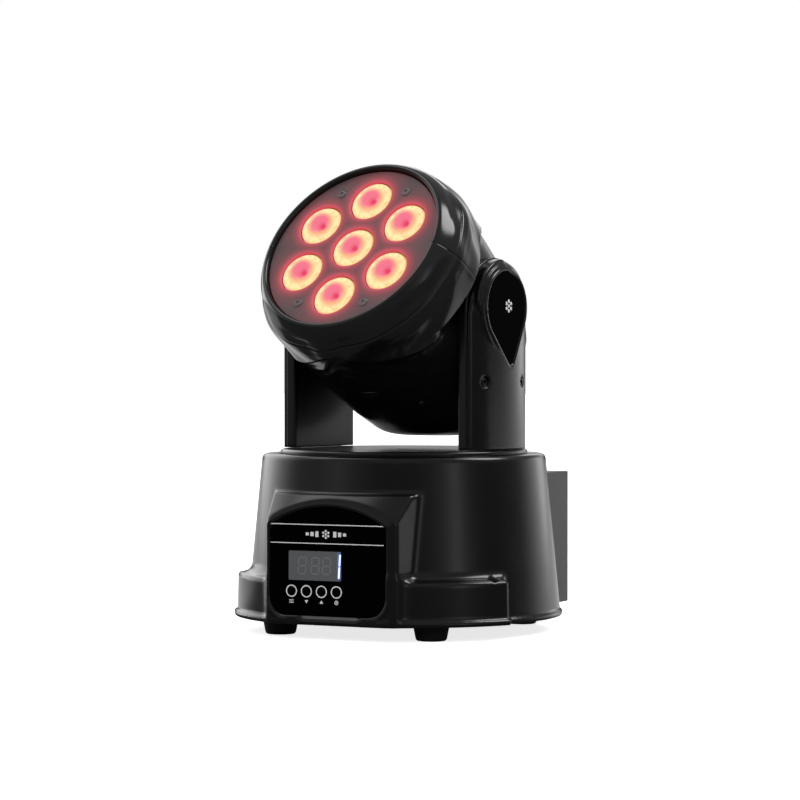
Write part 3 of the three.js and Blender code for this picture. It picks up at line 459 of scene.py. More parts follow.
def housing_field(x, y, z):
    """The drum with its console, ledges and lips, less the recess, the panel's pocket and the rear box."""
    r = np.hypot(x, y)
    drum = smax((r - (DRUM_R - DRUM_TAPER * (z - 8))) * 0.995, z - RIM_Z, 3.4)
    end = np.abs(x) * math.sin(LEDGE_END) + y * math.cos(LEDGE_END)
    ledge = smax(smax(r - (LEDGE_R - 0.02 * (z - 8)), z - LEDGE_Z, 2.4), end, 2.0)
    ledge = np.maximum(ledge, 20 - np.abs(x))
    lip = smax(r - LIP_R, z - 10.9, 1.0)
    front_lip = smax(smax(r - FRONT_LIP_R, z - 11.3, 1.2), end, 1.0)
    front_lip = smax(front_lip, -89.4 - y, 0.8)
    body = smin(drum, console_field(x, y, z), 2.4)
    body = smin(body, ledge, 5.5)
    body = smin(smin(body, lip, 1.6), front_lip, 1.6)
    body = smax(smax(body, -89.55 - y, 0.5), FLOOR_Z - z, 1.2)
    recess = smax(r - RECESS_R, RECESS_Z - z, 1.0)
    body = smax(body, -recess, 1.3) + 0.25 * ridge(r, GROOVE_R, 0.5) * step(96, 97, z)
    pocket = smax(fascia_distance(x, z) - 0.25, y + 86.7, 0.3)
    body = smax(body, -pocket, 0.35)
    cup = smax(np.hypot(np.abs(x) - CUP_X, y - CUP_Y) - 2.6, 29.6 - z, 0.4)
    body = smax(body, -cup, 0.4)
    rear = np.maximum(np.maximum(np.abs(x) - REAR_HALF_X, np.abs(z - REAR_MID) - REAR_HIGH), 45 - y)
    return smax(body, -rear, 0.5)


def on_base(name, shape, place, material, nodes=(), slot=None, **more):
    return add(name, *shape, place, material, "base", nodes, slot, **more)


on_base("housing", net(housing_field, (-93.5, -91, 7), (93.5, 90, 98.5), 1.05), BASE, SHELL, ["base_housing"],
        "black_shell", angle=0)

FOOT = [(0, 0), (3.2, 0), (3.2, 1.4), (4.4, 1.4), (4.4, 0), (7.6, 0), (8.35, 1.0), (9.75, 8.1), (0, 8.1)]
for corner in ("front_left", "front_right", "rear_left", "rear_right"):
    centre = middle(f"foot_{corner}")
    on_base(f"rubber_foot_{corner}", lathe(softened(FOOT, 0.6), 48), at(centre.x, centre.y, 0), RUBBER,
            [f"foot_{corner}"], "rubber")


def hex_ring(rings):
    """Bends the named rings of a lathe into a hexagon."""
    def bend(i, angle, r):
        if i not in rings:
            return r
        return r / math.cos((angle + math.pi / 6) % (math.pi / 3) - math.pi / 6)
    return bend


def screw(name, radius, place, material, body, flat=False):
    """A socket screw whose head's top is at z 0."""
    k = radius / 3
    top = [(0, -1.3 * k), (1.15 * k, -1.3 * k), (1.25 * k, -0.08 * k), (1.5 * k, 0)]
    if flat:
        top += [(2.7 * k, 0), (3 * k, -0.15 * k), (3 * k, -0.5 * k), (0, -2 * k)]
    else:
        top += [(2.2 * k, -0.15 * k), (2.75 * k, -0.6 * k), (3 * k, -1.2 * k), (3 * k, -2 * k), (0, -2 * k)]
    return add(name, *lathe(top, 36, hex_ring({1, 2})), place, material, body, (), "steel", angle=30)


for side, name in ((1, "right"), (-1, "left")):
    screw(f"ledge_screw_{name}", 2.15, at(side * CUP_X, CUP_Y, 30.9), DARK_SCREW, "base")

# Control panel: its own frame has x to the right, y up and z out of the console.
PANEL = at(0, FRONT_Y + 0.1, 0) @ TO_FRONT
button_x = [middle(f"button_{n}").x for n in ("menu", "down", "up", "enter")]
button_z = middle("button_menu").z
BUTTON_R = 2.3


def fascia_loop(inset):
    """The panel's outline, with a small step where its sides meet the arch."""
    half, low, arch_r, r = PANEL_HALF - inset, PANEL_LOW + inset, PANEL_ARCH_R - inset, PANEL_CORNER - inset
    corners = []
    for side, start in ((1, 270), (-1, 180)):
        arc = [polar(r, start + 9 * k) for k in range(11)]
        corners.append([(PANEL_X + side * (half - r) + dx, low + r + dy) for dx, dy in arc])
    shoulder = 2.2
    spread = math.asin((half - shoulder) / arch_r)
    arch = [(PANEL_X + arch_r * math.sin(a), PANEL_ARCH_Z + arch_r * math.cos(a))
            for a in np.linspace(spread, -spread, 40)]
    drop = PANEL_ARCH_Z + arch_r * math.cos(math.asin(half / arch_r)) - 1.6
    return corners[0] + [(PANEL_X + half, drop)] + arch + [(PANEL_X - half, drop)] + corners[1]


WINDOW_BOX = (-25.3, 6.7, 31.65, 47.75)
holes = [rounded_rect(*WINDOW_BOX, 0.8)] + [circle(x, button_z, BUTTON_R + 0.22, 32) for x in button_x]
plate("control_panel", [fascia_loop(0.3), *holes], -0.8, 0.0, PANEL, GLOSS, "base", ["control_fascia"],
      "gloss_black", bevel=0.12)


def printed(name, loops, material=PRINT, lift=0.0, thick=0.06):
    """A thin mark on the panel."""
    return plate(name, loops, lift, lift + thick, PANEL, material, "base", bevel=0.01)


def bar(x0, x1, z, half):
    return [(x0, z - half), (x1, z - half), (x1, z + half), (x0, z + half)]


for name, z in (("line_upper", 61.6), ("line_lower", 51.65)):
    printed(f"panel_{name}", [bar(PANEL_X - 33.9, PANEL_X + 33.9, z, 0.24)])
# A plain emblem between the lines: seven dots in the lenses' pattern, between two rows of bars.
EMBLEM = [(0, 0)] + [polar(1.75, a) for a in range(30, 390, 60)]
EMBLEM_X, EMBLEM_Z = PANEL_X - 0.5, 56.6
for i, (x, z) in enumerate(EMBLEM):
    printed(f"emblem_dot_{i + 1}", [circle(EMBLEM_X + x, EMBLEM_Z + z, 0.62, 20)])
for side in (-1, 1):
    for k in range(3):
        x0 = EMBLEM_X + side * (4.4 + 2.9 * k)
        x1 = x0 + side * 1.9
        printed(f"emblem_bar_{'left' if side < 0 else 'right'}_{k + 1}",
                [bar(min(x0, x1), max(x0, x1), EMBLEM_Z, 1.5 - 0.35 * k)])
for i, x in enumerate(button_x):
    printed(f"button_ring_{i + 1}", [circle(x, button_z, 3.3, 40), circle(x, button_z, 2.68, 40)])
LABEL_Z = 20.6
for k in range(3):
    printed(f"label_menu_{k + 1}", [bar(button_x[0] - 1.3, button_x[0] + 1.3, LABEL_Z + 0.75 * (k - 1), 0.16)])
for name, x, flip in (("down", button_x[1], -1), ("up", button_x[2], 1)):
    printed(f"label_{name}", [[(x - 1.1, LABEL_Z - 0.8 * flip), (x + 1.1, LABEL_Z - 0.8 * flip),
                               (x, LABEL_Z + 0.95 * flip)]])
printed("label_enter", [circle(button_x[3], LABEL_Z, 1.15, 28), circle(button_x[3], LABEL_Z, 0.75, 28)])
printed("label_enter_dot", [circle(button_x[3], LABEL_Z, 0.4, 20)])

BUTTON = [(0, 0.62), (1.1, 0.58), (1.95, 0.36), (2.28, 0.0), (2.28, -3.9), (0, -3.9)]
for x, name in zip(button_x, ("menu", "down", "up", "enter")):
    add(f"push_button_{name}", *lathe(softened(BUTTON, 0.25), 40), PANEL @ at(x, button_z, 0), GLOSS,
        f"{name}_button", [f"button_{name}"], "gloss_black")

# Display: a smoked window with three unlit eights, and a lit bar at its right edge.
x0, x1, z0, z1 = WINDOW_BOX
plate("display_pane", [rounded_rect(x0 + 0.25, x1 - 0.25, z0 + 0.25, z1 - 0.25, 0.6)], -0.95, -0.2, PANEL, WINDOW,
      "base", ["display_module"], "display", bevel=0.08)
DIGIT_W, DIGIT_H, STROKE, LEAN = 4.6, 8.6, 1.0, 0.06
DIGIT_Z = 39.7


def segment(cx, cz, length, upright):
    """A segment of a digit as a hexagon, about (cx, cz)."""
    h, s = length / 2, STROKE / 2
    points = [(-h, 0), (-h + s, -s), (h - s, -s), (h, 0), (h - s, s), (-h + s, s)]
    if upright:
        points = [(y, -x) for x, y in points]
    return [(cx + x + LEAN * (z + cz - DIGIT_Z), cz + z) for x, z in points]


for digit, from_left in enumerate((8.5, 16.3, 23.2)):
    cx = x0 + from_left
    w, h = DIGIT_W / 2, DIGIT_H / 4
    shapes = [("a", 0, 2 * h, False), ("g", 0, 0, False), ("d", 0, -2 * h, False), ("f", -w, h, True),
              ("b", w, h, True), ("e", -w, -h, True), ("c", w, -h, True)]
    for letter, dx, dz, upright in shapes:
        length = DIGIT_H / 2 - 0.3 if upright else DIGIT_W - 0.3
        printed(f"segment_{digit + 1}{letter}", [segment(cx + dx, DIGIT_Z + dz, length, upright)], GHOST, lift=-0.2,
                thick=0.05)
printed("lit_halo", [rounded_rect(x1 - 2.6, x1 - 0.3, z0 + 1.0, z1 - 0.5, 0.8)], LIT_HALO, lift=-0.2, thick=0.04)
for k, dz in enumerate((-3.3, 3.3)):
    printed(f"segment_lit_{k + 1}", [segment(x1 - 1.2, DIGIT_Z + dz, 6.5, True)], LIT, lift=-0.18, thick=0.06)

# Rear sockets, each in a frame with x to the right, y up and z out of the rear face.
REAR_FACE = 87.4


def on_rear(node_name):
    centre = middle(node_name)
    return Matrix(((1, 0, 0, centre.x), (0, 0, 1, REAR_FACE), (0, 1, 0, centre.z), (0, 0, 0, 1)))


def slope_rect(w, h, cut):
    return [(-w, -h), (w, -h), (w, h - cut), (w - cut, h), (cut - w, h), (-w, h - cut)]


def moulding(name, loops, z0, z1, nodes=(), bevel=0.15):
    """A plate of the socket at hand."""
    return plate(name, loops, z0, z1, place, SOCKET, "base", nodes, "dark_plastic", bevel=bevel)


place = on_rear("mains_inlet")
moulding("mains_inlet_flange", [rounded_rect(-25, 25, -12, 12, 3), slope_rect(12.3, 8.5, 4), circle(-20, 0, 1.6, 24),
                                circle(20, 0, 1.6, 24)], 0, 2, ["mains_inlet"], 0.3)
moulding("mains_inlet_wall", [slope_rect(14, 10.5, 4.4), slope_rect(12.3, 8.5, 4)], -15.9, 0.3, bevel=0.1)
moulding("mains_inlet_back", [slope_rect(12.6, 8.8, 4)], -16, -14)
for i, (x, z) in enumerate(((-7, -2), (7, -2), (0, 2.5))):
    plate(f"mains_blade_{i + 1}", [rounded_rect(x - 1, x + 1, z - 2, z + 2, 0.4)], -14.5, -2, place, ZINC, "base",
          (), "steel", bevel=0.25)
for i, x in enumerate((-20, 20)):
    screw(f"inlet_screw_{i + 1}", 2.4, place @ at(x, 0, 2.15), DARK_SCREW, "base")

place = on_rear("fuse_holder")
CAP = [(0, 1.3), (4.6, 1.3), (4.9, 2.3), (5.9, 2.35), (6.3, 1.9), (6.5, 1.2), (8.5, 0.95), (8.6, 0), (6, 0),
       (6, -19.8), (0, -19.8)]
on_base("fuse_cap", lathe(softened(CAP, 0.3), 48), place, SOCKET, ["fuse_holder"], "dark_plastic")
moulding("fuse_cap_tab", [rounded_rect(-4.2, 4.2, -0.9, 0.9, 0.6)], 1.2, 2.2, bevel=0.2)

BARREL = [(0, -16.8), (11.8, -16.8), (11.8, 0.2), (9.45, 0.2), (9.45, -14), (0, -14)]
PIN = [(0, -2), (0.7, -2.1), (1.15, -2.8), (1.2, -15), (0, -15)]
CONTACT = [(0.95, 0.65), (1.45, 0.65), (1.45, -11), (0.95, -11)]
PIN_SPOTS = [polar(5, a) for a in (90, 210, 330)]
for label, kind, profile in (("in", "pin", PIN), ("out", "contact", CONTACT)):
    place = on_rear(f"dmx_{label}_socket")
    moulding(f"dmx_{label}_flange", [rounded_rect(-13, 13, -15.5, 15.5, 2.5), circle(0, 0, 9.5, 64),
                                     circle(-9.6, 12, 1.6, 24), circle(9.6, -12, 1.6, 24)], 0, 2,
             [f"dmx_{label}_socket"], 0.35)
    on_base(f"dmx_{label}_barrel", lathe(BARREL, 64), place, SOCKET, (), "dark_plastic")
    for i, (x, z) in enumerate(PIN_SPOTS):
        on_base(f"dmx_{label}_{kind}_{i + 1}", lathe(profile, 20), place @ at(x, z, 0), ZINC, (), "steel")
    if label == "out":
        holes = [circle(x, z, 1.5, 20) for x, z in PIN_SPOTS]
        moulding("dmx_out_insert", [circle(0, 0, 7.6, 48), *holes], -13.9, 0.6, bevel=0.3)
    for i, (x, z) in enumerate(((-9.6, 12), (9.6, -12))):
        screw(f"dmx_{label}_screw_{i + 1}", 2.2, place @ at(x, z, 2.1), DARK_SCREW, "base")
for i, (x, z) in enumerate(((-57, 15), (57, 15), (-57, 81), (57, 81), (0, 81), (0, 15))):
    screw(f"rear_plate_screw_{i + 1}", 2.6, at(x, 88.7, z) @ TO_Y, DARK_SCREW, "base")

# ---------- yoke
TURNTABLE = [(0, 97.7), (66.2, 97.7), (66.2, 94), (68.4, 94), (68.6, 99.0), (67.6, 99.9), (56, 99.95), (0, 99.95)]
add("turntable", *lathe(softened(TURNTABLE, 0.5), 128), YOKE, SHELL, "yoke", ["turntable_cover"], "black_shell")
ARM_LOW = 100.3 - pivot.z
ARM_HALF = 29.3
BADGE_Y, BADGE_Z, BADGE_R = -0.8, 2.4, 19.4  # the teardrop's round end
TIP_Y, TIP_Z, TIP_R = 3.5, -26.0, 3.0


def arm_outline(y, z):
    return np.where(z > 0, np.hypot(y, z), np.abs(y)) - ARM_HALF


def badge_distance(y, z):
    """Distance outside the teardrop: the hull of a large circle by the pivot and a small one below it."""
    span = math.hypot(TIP_Y - BADGE_Y, TIP_Z - BADGE_Z)
    uy, uz = (TIP_Y - BADGE_Y) / span, (TIP_Z - BADGE_Z) / span
    dy, dz = y - BADGE_Y, z - BADGE_Z
    along = dy * uy + dz * uz
    aside = np.abs(dy * uz - dz * uy)
    lean = (BADGE_R - TIP_R) / span
    rise = math.sqrt(1 - lean * lean)
    past = along * rise - aside * lean
    flank = aside * rise + along * lean - BADGE_R
    return np.where(past < 0, np.hypot(dy, dz) - BADGE_R,
                    np.where(past > rise * span, np.hypot(y - TIP_Y, z - TIP_Z) - TIP_R, flank))


def outer_arm_field(x, y, z):
    """The outer cover: a cylinder about the pan axis, domed above, with the badge's boss and its terraces."""
    r = np.hypot(x, y)
    tear = badge_distance(y, z)
    dome = np.hypot(y, np.maximum(z, 0)) - ARM_HALF + 0.88 * np.maximum(x - 61.5, 0)
    body = smax(smax(arm_outline(y, z), r - 67.9, 1.9), np.where(z > 0, dome * 0.75, -20), 3.0)
    boss = smax(tear - 1.85, x - 67.75, 0.8)
    front = 1 - step(-3, 9, y)
    lower_step = smax(tear - 4.1 + 6 * (1 - front) * (1 - step(-22, -27, z)), x - 66.9 + 0.3 * step(0, -20, z), 0.7)
    upper_step = smax(tear - 6.6 + 7 * (1 - front * step(-8, 6, z)), x - 65.7, 0.7)
    body = smin(smin(smin(body, boss, 0.5), lower_step, 0.5), upper_step, 0.5)
    body = smax(body, 59.75 - x, 0.5)
    body = smax(body, ARM_LOW - z, 0.4)
    pocket = smax(tear - 0.3, 66.75 - x, 0.3)
    body = smax(body, -pocket, 0.3)
    cup = smax(np.hypot(np.abs(y) - 19, z + 38) - 3.1, 63.8 - x, 0.5)
    return smax(body, -cup, 0.6)


def inner_arm_field(x, y, z):
    body = smax(arm_outline(y, z), 53.7 - x, 1.6)
    body = smax(body, x - 59.45, 0.5)
    body = smax(body, ARM_LOW - z, 0.4)
    bore = np.hypot(y, z) - 7.3
    pad = ridge(np.hypot(y, z), 22, 0.7)
    return smax(body + 0.3 * pad, -bore, 0.6)


def badge_field(x, y, z):
    """A plate with a slight crown."""
    crown = 67.4 + 0.3 * step(2, -14, badge_distance(y, z))
    body = smax(badge_distance(y, z), x - crown, 0.6)
    return smax(body, 66.85 - x, 0.2)


def mirrored(shape):
    points, faces = shape
    return points * np.array([-1, 1, 1]), faces


outer_shape = net(outer_arm_field, (58.5, -31, ARM_LOW - 1), (69.5, 31, 31), 0.85)
inner_shape = net(inner_arm_field, (52.5, -31, ARM_LOW - 1), (60.5, 31, 31), 0.95)
badge_shape = net(badge_field, (60, -22, -31), (69, 24, 24), 0.7)
COLLAR = [(7.6, 51.5), (11.5, 51.5), (13, 52.2), (13, 53.9), (7.6, 53.9)]
DOT = [(0, 67.78), (0.9, 67.78), (1.0, 67.72), (1.0, 67.5), (0, 67.5)]
for side, name in ((1, "right"), (-1, "left")):
    flip = (lambda s: s) if side > 0 else mirrored
    outward = Matrix.Rotation(math.radians(90 * side), 4, "Y")
    for part, shape, material in (("outer", outer_shape, SHELL), ("inner", inner_shape, INNER_SHELL)):
        add(f"arm_{name}_{part}", *flip(shape), ARM, material, "yoke", [f"arm_{name}_{part}_cover"], "black_shell",
            angle=0)
    add(f"badge_{name}", *flip(badge_shape), ARM, BADGE_GLOSS, "yoke", [f"arm_{name}_badge"], "gloss_black", angle=0)
    for k, y in enumerate((-19, 19)):
        screw(f"arm_{name}_screw_{k + 1}", 2.5, ARM @ at(side * 64.6, y, -38) @ outward, DARK_SCREW, "yoke")
    add(f"arm_{name}_collar", *lathe(softened(COLLAR, 0.3), 48), ARM @ outward, SHELL, "yoke", (), "black_shell")
    # The same plain emblem as the panel's, small, on the badge.
    for i, (y, z) in enumerate(EMBLEM):
        add(f"badge_{name}_dot_{i + 1}", *lathe(DOT, 24), ARM @ at(0, 0.8 + y * 1.5, 3.0 + z * 1.5) @ outward, PRINT,
            "yoke")

# ---------- head
# The head's frame has x to the right and z up; s is the distance forward of the tilt axis, along -y.
SEAM = 0.2
HEAD_ROUND = np.array([(-65, 40.8), (-63.6, 43.6), (-60, 47.6), (-46, 53.1), (-28, 56.3), (-8, 58.5), (8, 59.6),
                       (30, 60.6), (50, 60.9)])
BAND = np.array([(5, 60.6), (13, 62.2), (24, 63.1), (34, 63.2), (43, 63.1), (47, 62.7), (52, 61.5), (57, 59.2),
                 (60, 57.4), (62, 56.0), (63.2, 55.0)])
HEAD_HIGH = np.array([(-65, 33.3), (-63.6, 37), (-60, 41.8), (-46, 51.3), (-28, 56), (8, 60.6), (13, 75), (70, 75)])
HEAD_WIDE = np.array([(-65, 35), (-63.4, 39), (-58, 44.3), (-50, 48.2), (-40, 51), (31, 51), (31.01, 80), (70, 80)])
# Where the raised front band ends: degrees round from the head's underside, and s. It is cut in flame tongues.
TONGUES = np.array([(0, 45), (5, 44), (10, 41.5), (14, 39), (19, 36.2), (24, 34.2), (28, 33.0), (32, 31.2),
                    (36, 29.4), (40, 27.8), (44, 26.8), (49, 26.4), (57, 26.8), (66, 24), (74, 14),
                    (80, 9), (90, 7), (99, 10), (106, 24), (114, 27), (118, 21), (124, 24), (131, 20), (138, 15),
                    (146, 19), (153, 13), (160, 17), (168, 11), (180, 14)])
STROKES = [  # raised lines on the body behind the band, of (degrees, s)
    [(4, 40), (12, 31), (22, 26), (30, 20), (33, 12)],
    [(2, 33), (10, 26), (18, 22), (22, 14)],
    [(-3, 28), (4, 22), (10, 17), (12, 10)],
    [(20, 6), (30, 4), (40, 6), (47, 3)],
]


def flowing(table, end):
    """The profile with its corners eased, except at the rear edge and past its end."""
    gap, reach, blur = 0.5, 16, 3.0
    s = np.arange(-66.0, 80.0, gap)
    r = np.interp(s, table[:, 0], table[:, 1])
    kernel = np.exp(-0.5 * (np.arange(-reach, reach + 1) * gap / blur) ** 2)
    eased = np.convolve(np.pad(r, reach, mode="edge"), kernel / kernel.sum(), "valid")
    return np.stack([s, r + (eased - r) * step(-56, -44, s) * step(end, end - 8, s)], 1)


HEAD_ROUND, HEAD_HIGH, HEAD_WIDE = flowing(HEAD_ROUND, 50), flowing(HEAD_HIGH, 4), flowing(HEAD_WIDE, 16)


def around(x, w):
    """Degrees round the head from its underside, 0 to 180 on either side."""
    return np.degrees(np.arctan2(np.abs(x), -w))


def stroke_height(u, v):
    """How high the strokes stand at u degrees round and s = v, in mm."""
    height = np.zeros(np.broadcast(u, v).shape)
    for line in STROKES:
        best = np.full(height.shape, 1e9)
        ends = np.zeros(height.shape)
        total = len(line) - 1
        for k in range(total):
            (au, av), (bu, bv) = line[k], line[k + 1]
            du, dv = bu - au, bv - av
            t = np.clip(((u - au) * du + (v - av) * dv) / (du * du + dv * dv), 0, 1)
            d = np.hypot(u - au - t * du, v - av - t * dv)
            near = d < best
            best = np.where(near, d, best)
            ends = np.where(near, (k + t) / total, ends)
        width = 1.8 * np.sin(np.pi * np.clip(ends * 0.92 + 0.06, 0, 1)) ** 0.6
        height = np.maximum(height, 0.2 * (1 - step(0, width + 1.5, best)))
    return height


def head_radius(s, turn_x, turn_w):
    """The outer radius at s in the direction (x, w), a unit vector."""
    rear = np.interp(s, *HEAD_ROUND.T)
    degrees = around(turn_x, turn_w)
    past_edge = s - np.interp(degrees, *TONGUES.T)
    on_band = step(-0.9, 0.9, past_edge)
    strokes = stroke_height(degrees, s) * (1 - step(-4.5, -2.5, past_edge)) * step(-30, -20, s)
    swell = 0.5 * np.sin(np.radians(degrees * 5.2) + s * 0.2) + 0.34 * np.sin(np.radians(degrees * 11) - s * 0.31)
    swell = (swell - 0.6) * step(60.5, 55, s) * step(2, 12, degrees) * (1 - 0.7 * ridge(degrees, 90, 9))
    r = rear + strokes + (np.interp(s, *BAND.T) - rear + swell) * on_band
    r = smin(r, np.interp(s, *HEAD_HIGH.T) / np.maximum(np.abs(turn_w), 0.05), 5.0)
    r = smin(r, np.interp(s, *HEAD_WIDE.T) / np.maximum(np.abs(turn_x), 0.05), 2.5)
    return r - 0.75 * ridge(s, 51.4, 0.55) - 0.35 * ridge(s, 4.0, 0.5) * (1 - on_band)


OPENING_R = 33.5  # the grille's opening in the rear face
REAR_EDGE = 2.2
WALL = 2.8
CREST = [(63.8, 54.4), (64.2, 53.8), (64.4, 53.2), (64.35, 52.6), (63.95, 52.0), (63.2, 51.7), (62.0, 51.55),
         (59.5, 51.5), (59.2, 51.3), (59.2, 48.8)]


def shell_half(upper):
    """One half of the head's shell: rear face, outer skin, front lip, mouth and inner wall."""
    sign = 1 if upper else -1
    angles = np.radians(np.concatenate([np.linspace(0, 3, 7)[:-1], np.linspace(3, 177, 264),
                                        np.linspace(177, 180, 7)[1:]]))
    ux, uw = np.cos(angles), sign * np.sin(angles)
    rows = []

    def row(s, r):
        rows.append((s + 0 * ux, r + 0 * ux))

    def skin(s):
        return head_radius(np.full(1, float(s)), ux, uw)

    end_r = skin(-64)
    for f in np.linspace(0, 1, 8)[:-1]:
        row(-65.0, OPENING_R + (end_r - REAR_EDGE - OPENING_R) * f)
    for a in np.radians(np.linspace(0, 90, 5)[:-1]):
        row(-64.0 - math.cos(a), end_r - REAR_EDGE * (1 - math.sin(a)))
    for s in np.unique(np.concatenate([np.arange(-64, 49, 0.8), np.arange(49, 54, 0.3), np.arange(54, 63.1, 0.7),
                                       np.arange(30.4, 31.6, 0.3)])):
        row(s, skin(s))
    for s, r in CREST:
        row(s, r)
    for s in np.arange(57, -62, -4.0):
        row(s, np.minimum(skin(s) - WALL, 56.5 if s < 50 else 49))
    row(-62.8, np.minimum(end_r - 5, 42))
    row(-62.8, OPENING_R)
    s, r = np.array(rows).swapaxes(0, 1)
    x, w = r * ux, r * uw
    x = x - np.sign(x) * 0.12 * np.exp(-(w / 0.3) ** 2) * (r > 50)
    verts = np.stack([x, -s, w + sign * SEAM], -1).reshape(-1, 3)
    n, m = s.shape
    index = np.arange(n * m).reshape(n, m)
    a, b = index[:, :-1], index[:, 1:]
    c, d = np.roll(index, -1, 0)[:, 1:], np.roll(index, -1, 0)[:, :-1]
    faces = np.stack([a, b, c, d], -1).reshape(-1, 4).tolist()
    for column in (0, -1):  # the two flat faces at the seam
        outline = [Vector((a, b, 0)) for a, b in zip(s[:, column], r[:, column])]
        faces += [[int(index[k, column]) for k in triangle] for triangle in tessellate_polygon([outline])]
    return verts, faces


for upper, name in ((True, "upper"), (False, "lower")):
    add(f"head_{name}", *shell_half(upper), HEAD, HEAD_ABS, "head", [f"head_shell_{name}"], "black_shell", angle=60)

# Two small screws hold the lower shell from below.
SCREW_TURN = math.radians(25.5)
for side, name in ((1, "right"), (-1, "left")):
    outward = Matrix.Rotation(math.pi - side * SCREW_TURN, 4, "Y") @ at(0, 11, 58.55)
    screw(f"head_screw_{name}", 1.5, HEAD @ outward @ Matrix.Rotation(math.radians(-6.3), 4, "X"), ZINC, "head")

FACE = HEAD @ TO_FRONT  # x to the right, y up the face, z forward
to_face = FACE.inverted()
lens_spots = [to_face @ middle(f"lens_{i}") for i in range(1, 8)]
lens_spots = [(p.x, p.y) for p in lens_spots]


def face_material():
    """Fine-textured plate with a painted red glow close to the lenses: the plate emits, standing in for the lenses'
    light falling on it.
    """
    material = surface("face_plate_grain_and_painted_glow", (0.067, 0.056, 0.060), 0.55, grain=0.45, bump=0.5, spread=0.05)
    tree = material.node_tree
    shader = tree.nodes["Principled BSDF"]
    place = node(tree, "ShaderNodeTexCoord").outputs["Object"]
    nearest = None
    for x, y in lens_spots:
        spot = FACE @ Vector((x, y, 61.6)) * MM
        distance = node(tree, "ShaderNodeVectorMath", {0: place, 1: spot}, operation="DISTANCE").outputs["Value"]
        nearest = distance if nearest is None else calculated(tree, "MINIMUM", nearest, distance)
    # Painted glow: red emission on the plate near each lens, standing in for light from the lenses.
    painted_glow = color_ramp(tree, mapped(tree, nearest, 12.7 * MM, 25 * MM), [
        (0.0, (0.60, 0.04, 0.07, 1)), (0.07, (0.42, 0.014, 0.035, 1)), (0.20, (0.22, 0.004, 0.014, 1)),
        (0.45, (0.08, 0.001, 0.004, 1)), (1.0, (0.022, 0.0, 0.0, 1))])
    tree.links.new(painted_glow, shader.inputs["Emission Color"])
    shader.inputs["Emission Strength"].default_value = 1.0
    return material


plate("face_panel", [circle(0, 0, 51.2, 160), *[circle(x, y, 12.75, 64) for x, y in lens_spots]], 59.6, 61.6, FACE,
      face_material(), "head", ["face_plate"], "face_grey", bevel=0.3)
WASHER = [(2.2, 61.5), (2.95, 61.5), (2.95, 61.7), (2.65, 62.0), (2.25, 61.95)]
SCREW_CIRCLE = 42.4
for i, a in enumerate((60, 120, 240, 300)):
    x, y = polar(SCREW_CIRCLE, a)
    screw(f"face_screw_{i + 1}", 2.2, FACE @ at(x, y, 61.95), FACE_SCREW, "head", flat=True)
    add(f"face_screw_rim_{i + 1}", *lathe(WASHER, 36), FACE @ at(x, y, 0), FACE_SCREW, "head", (), "steel")


def lens_material():
    """A lit lens: a pale yellow rim, a pink heart that leans to one side, and a red core."""
    material, tree, shader = principled("lit_lens", (0.10, 0.03, 0.03), 0.12, level=0.25)
    spot = node(tree, "ShaderNodeAttribute", attribute_name="lens_spot").outputs["Vector"]
    noise = node(tree, "ShaderNodeTexNoise", Vector=spot, Scale=2.2, Detail=2.0).outputs["Fac"]
    wobble = mapped(tree, noise, 0, 1, -0.07, 0.07)

    def ring(centre, colors, offset=None):
        value = node(tree, "ShaderNodeVectorMath", {0: spot, 1: centre}, operation="DISTANCE").outputs["Value"]
        if offset is not None:
            value = calculated(tree, "ADD", value, offset)
        return color_ramp(tree, value, colors)

    outer = ring((0, 0, 0), [
        (0.0, (0.88, 0.36, 0.14, 1)), (0.46, (0.90, 0.40, 0.16, 1)), (0.60, (0.97, 0.62, 0.26, 1)),
        (0.74, (0.98, 0.84, 0.38, 1)), (0.90, (0.98, 0.88, 0.42, 1)), (0.97, (1.0, 0.50, 0.22, 1)),
        (1.0, (0.8, 0.10, 0.09, 1))])
    heart = ring((-0.17, 0.17, 0), [
        (0.0, (1, 1, 1, 1)), (0.36, (0.95, 0.95, 0.95, 1)), (0.50, (0.45, 0.45, 0.45, 1)), (0.60, (0, 0, 0, 1))],
        wobble)
    core = ring((0.0, 0.04, 0), [
        (0.0, (1, 1, 1, 1)), (0.10, (0.85, 0.85, 0.85, 1)), (0.17, (0.3, 0.3, 0.3, 1)), (0.28, (0, 0, 0, 1))])
    patches = node(tree, "ShaderNodeTexNoise", Vector=spot, Scale=3.4, Detail=3.0, Roughness=0.6).outputs["Fac"]
    mottled = mixed(tree, mapped(tree, patches, 0, 1, -1.1, 1.5), outer, (0.95, 0.42, 0.19, 1))
    pink = mixed(tree, heart, mottled, (0.84, 0.16, 0.26, 1))
    tree.links.new(mixed(tree, core, pink, (0.74, 0.015, 0.09, 1)), shader.inputs["Emission Color"])
    shader.inputs["Emission Strength"].default_value = 1.0
    return material


LENS_GLOW = lens_material()
LENS_R = 12.4
LENS = [(0, 58.5), (1.2, 58.5), (1.8, 58.9), (2.4, 59.5), (4, 60.2), (6, 60.7), (8, 61.0), (9.6, 61.1), (11, 60.9),
        (11.9, 60.5), (12.3, 59.9), (12.4, 59.0), (11.2, 58.0), (4.4, 53.1), (0, 53.1)]
for i, (x, y) in enumerate(lens_spots):
    made = add(f"led_lens_{i + 1}", *lathe(LENS, 64), FACE @ at(x, y, 0), LENS_GLOW, "head", [f"lens_{i + 1}"],
               "lens", angle=50)
    back = (FACE @ at(x, y, 0)).inverted()
    spot = made.data.attributes.new("lens_spot", "FLOAT_VECTOR", "POINT")
    for k, vertex in enumerate(made.data.vertices):
        local = back @ (vertex.co / MM)
        spot.data[k].vector = (local.x / LENS_R, local.y / LENS_R, 0)

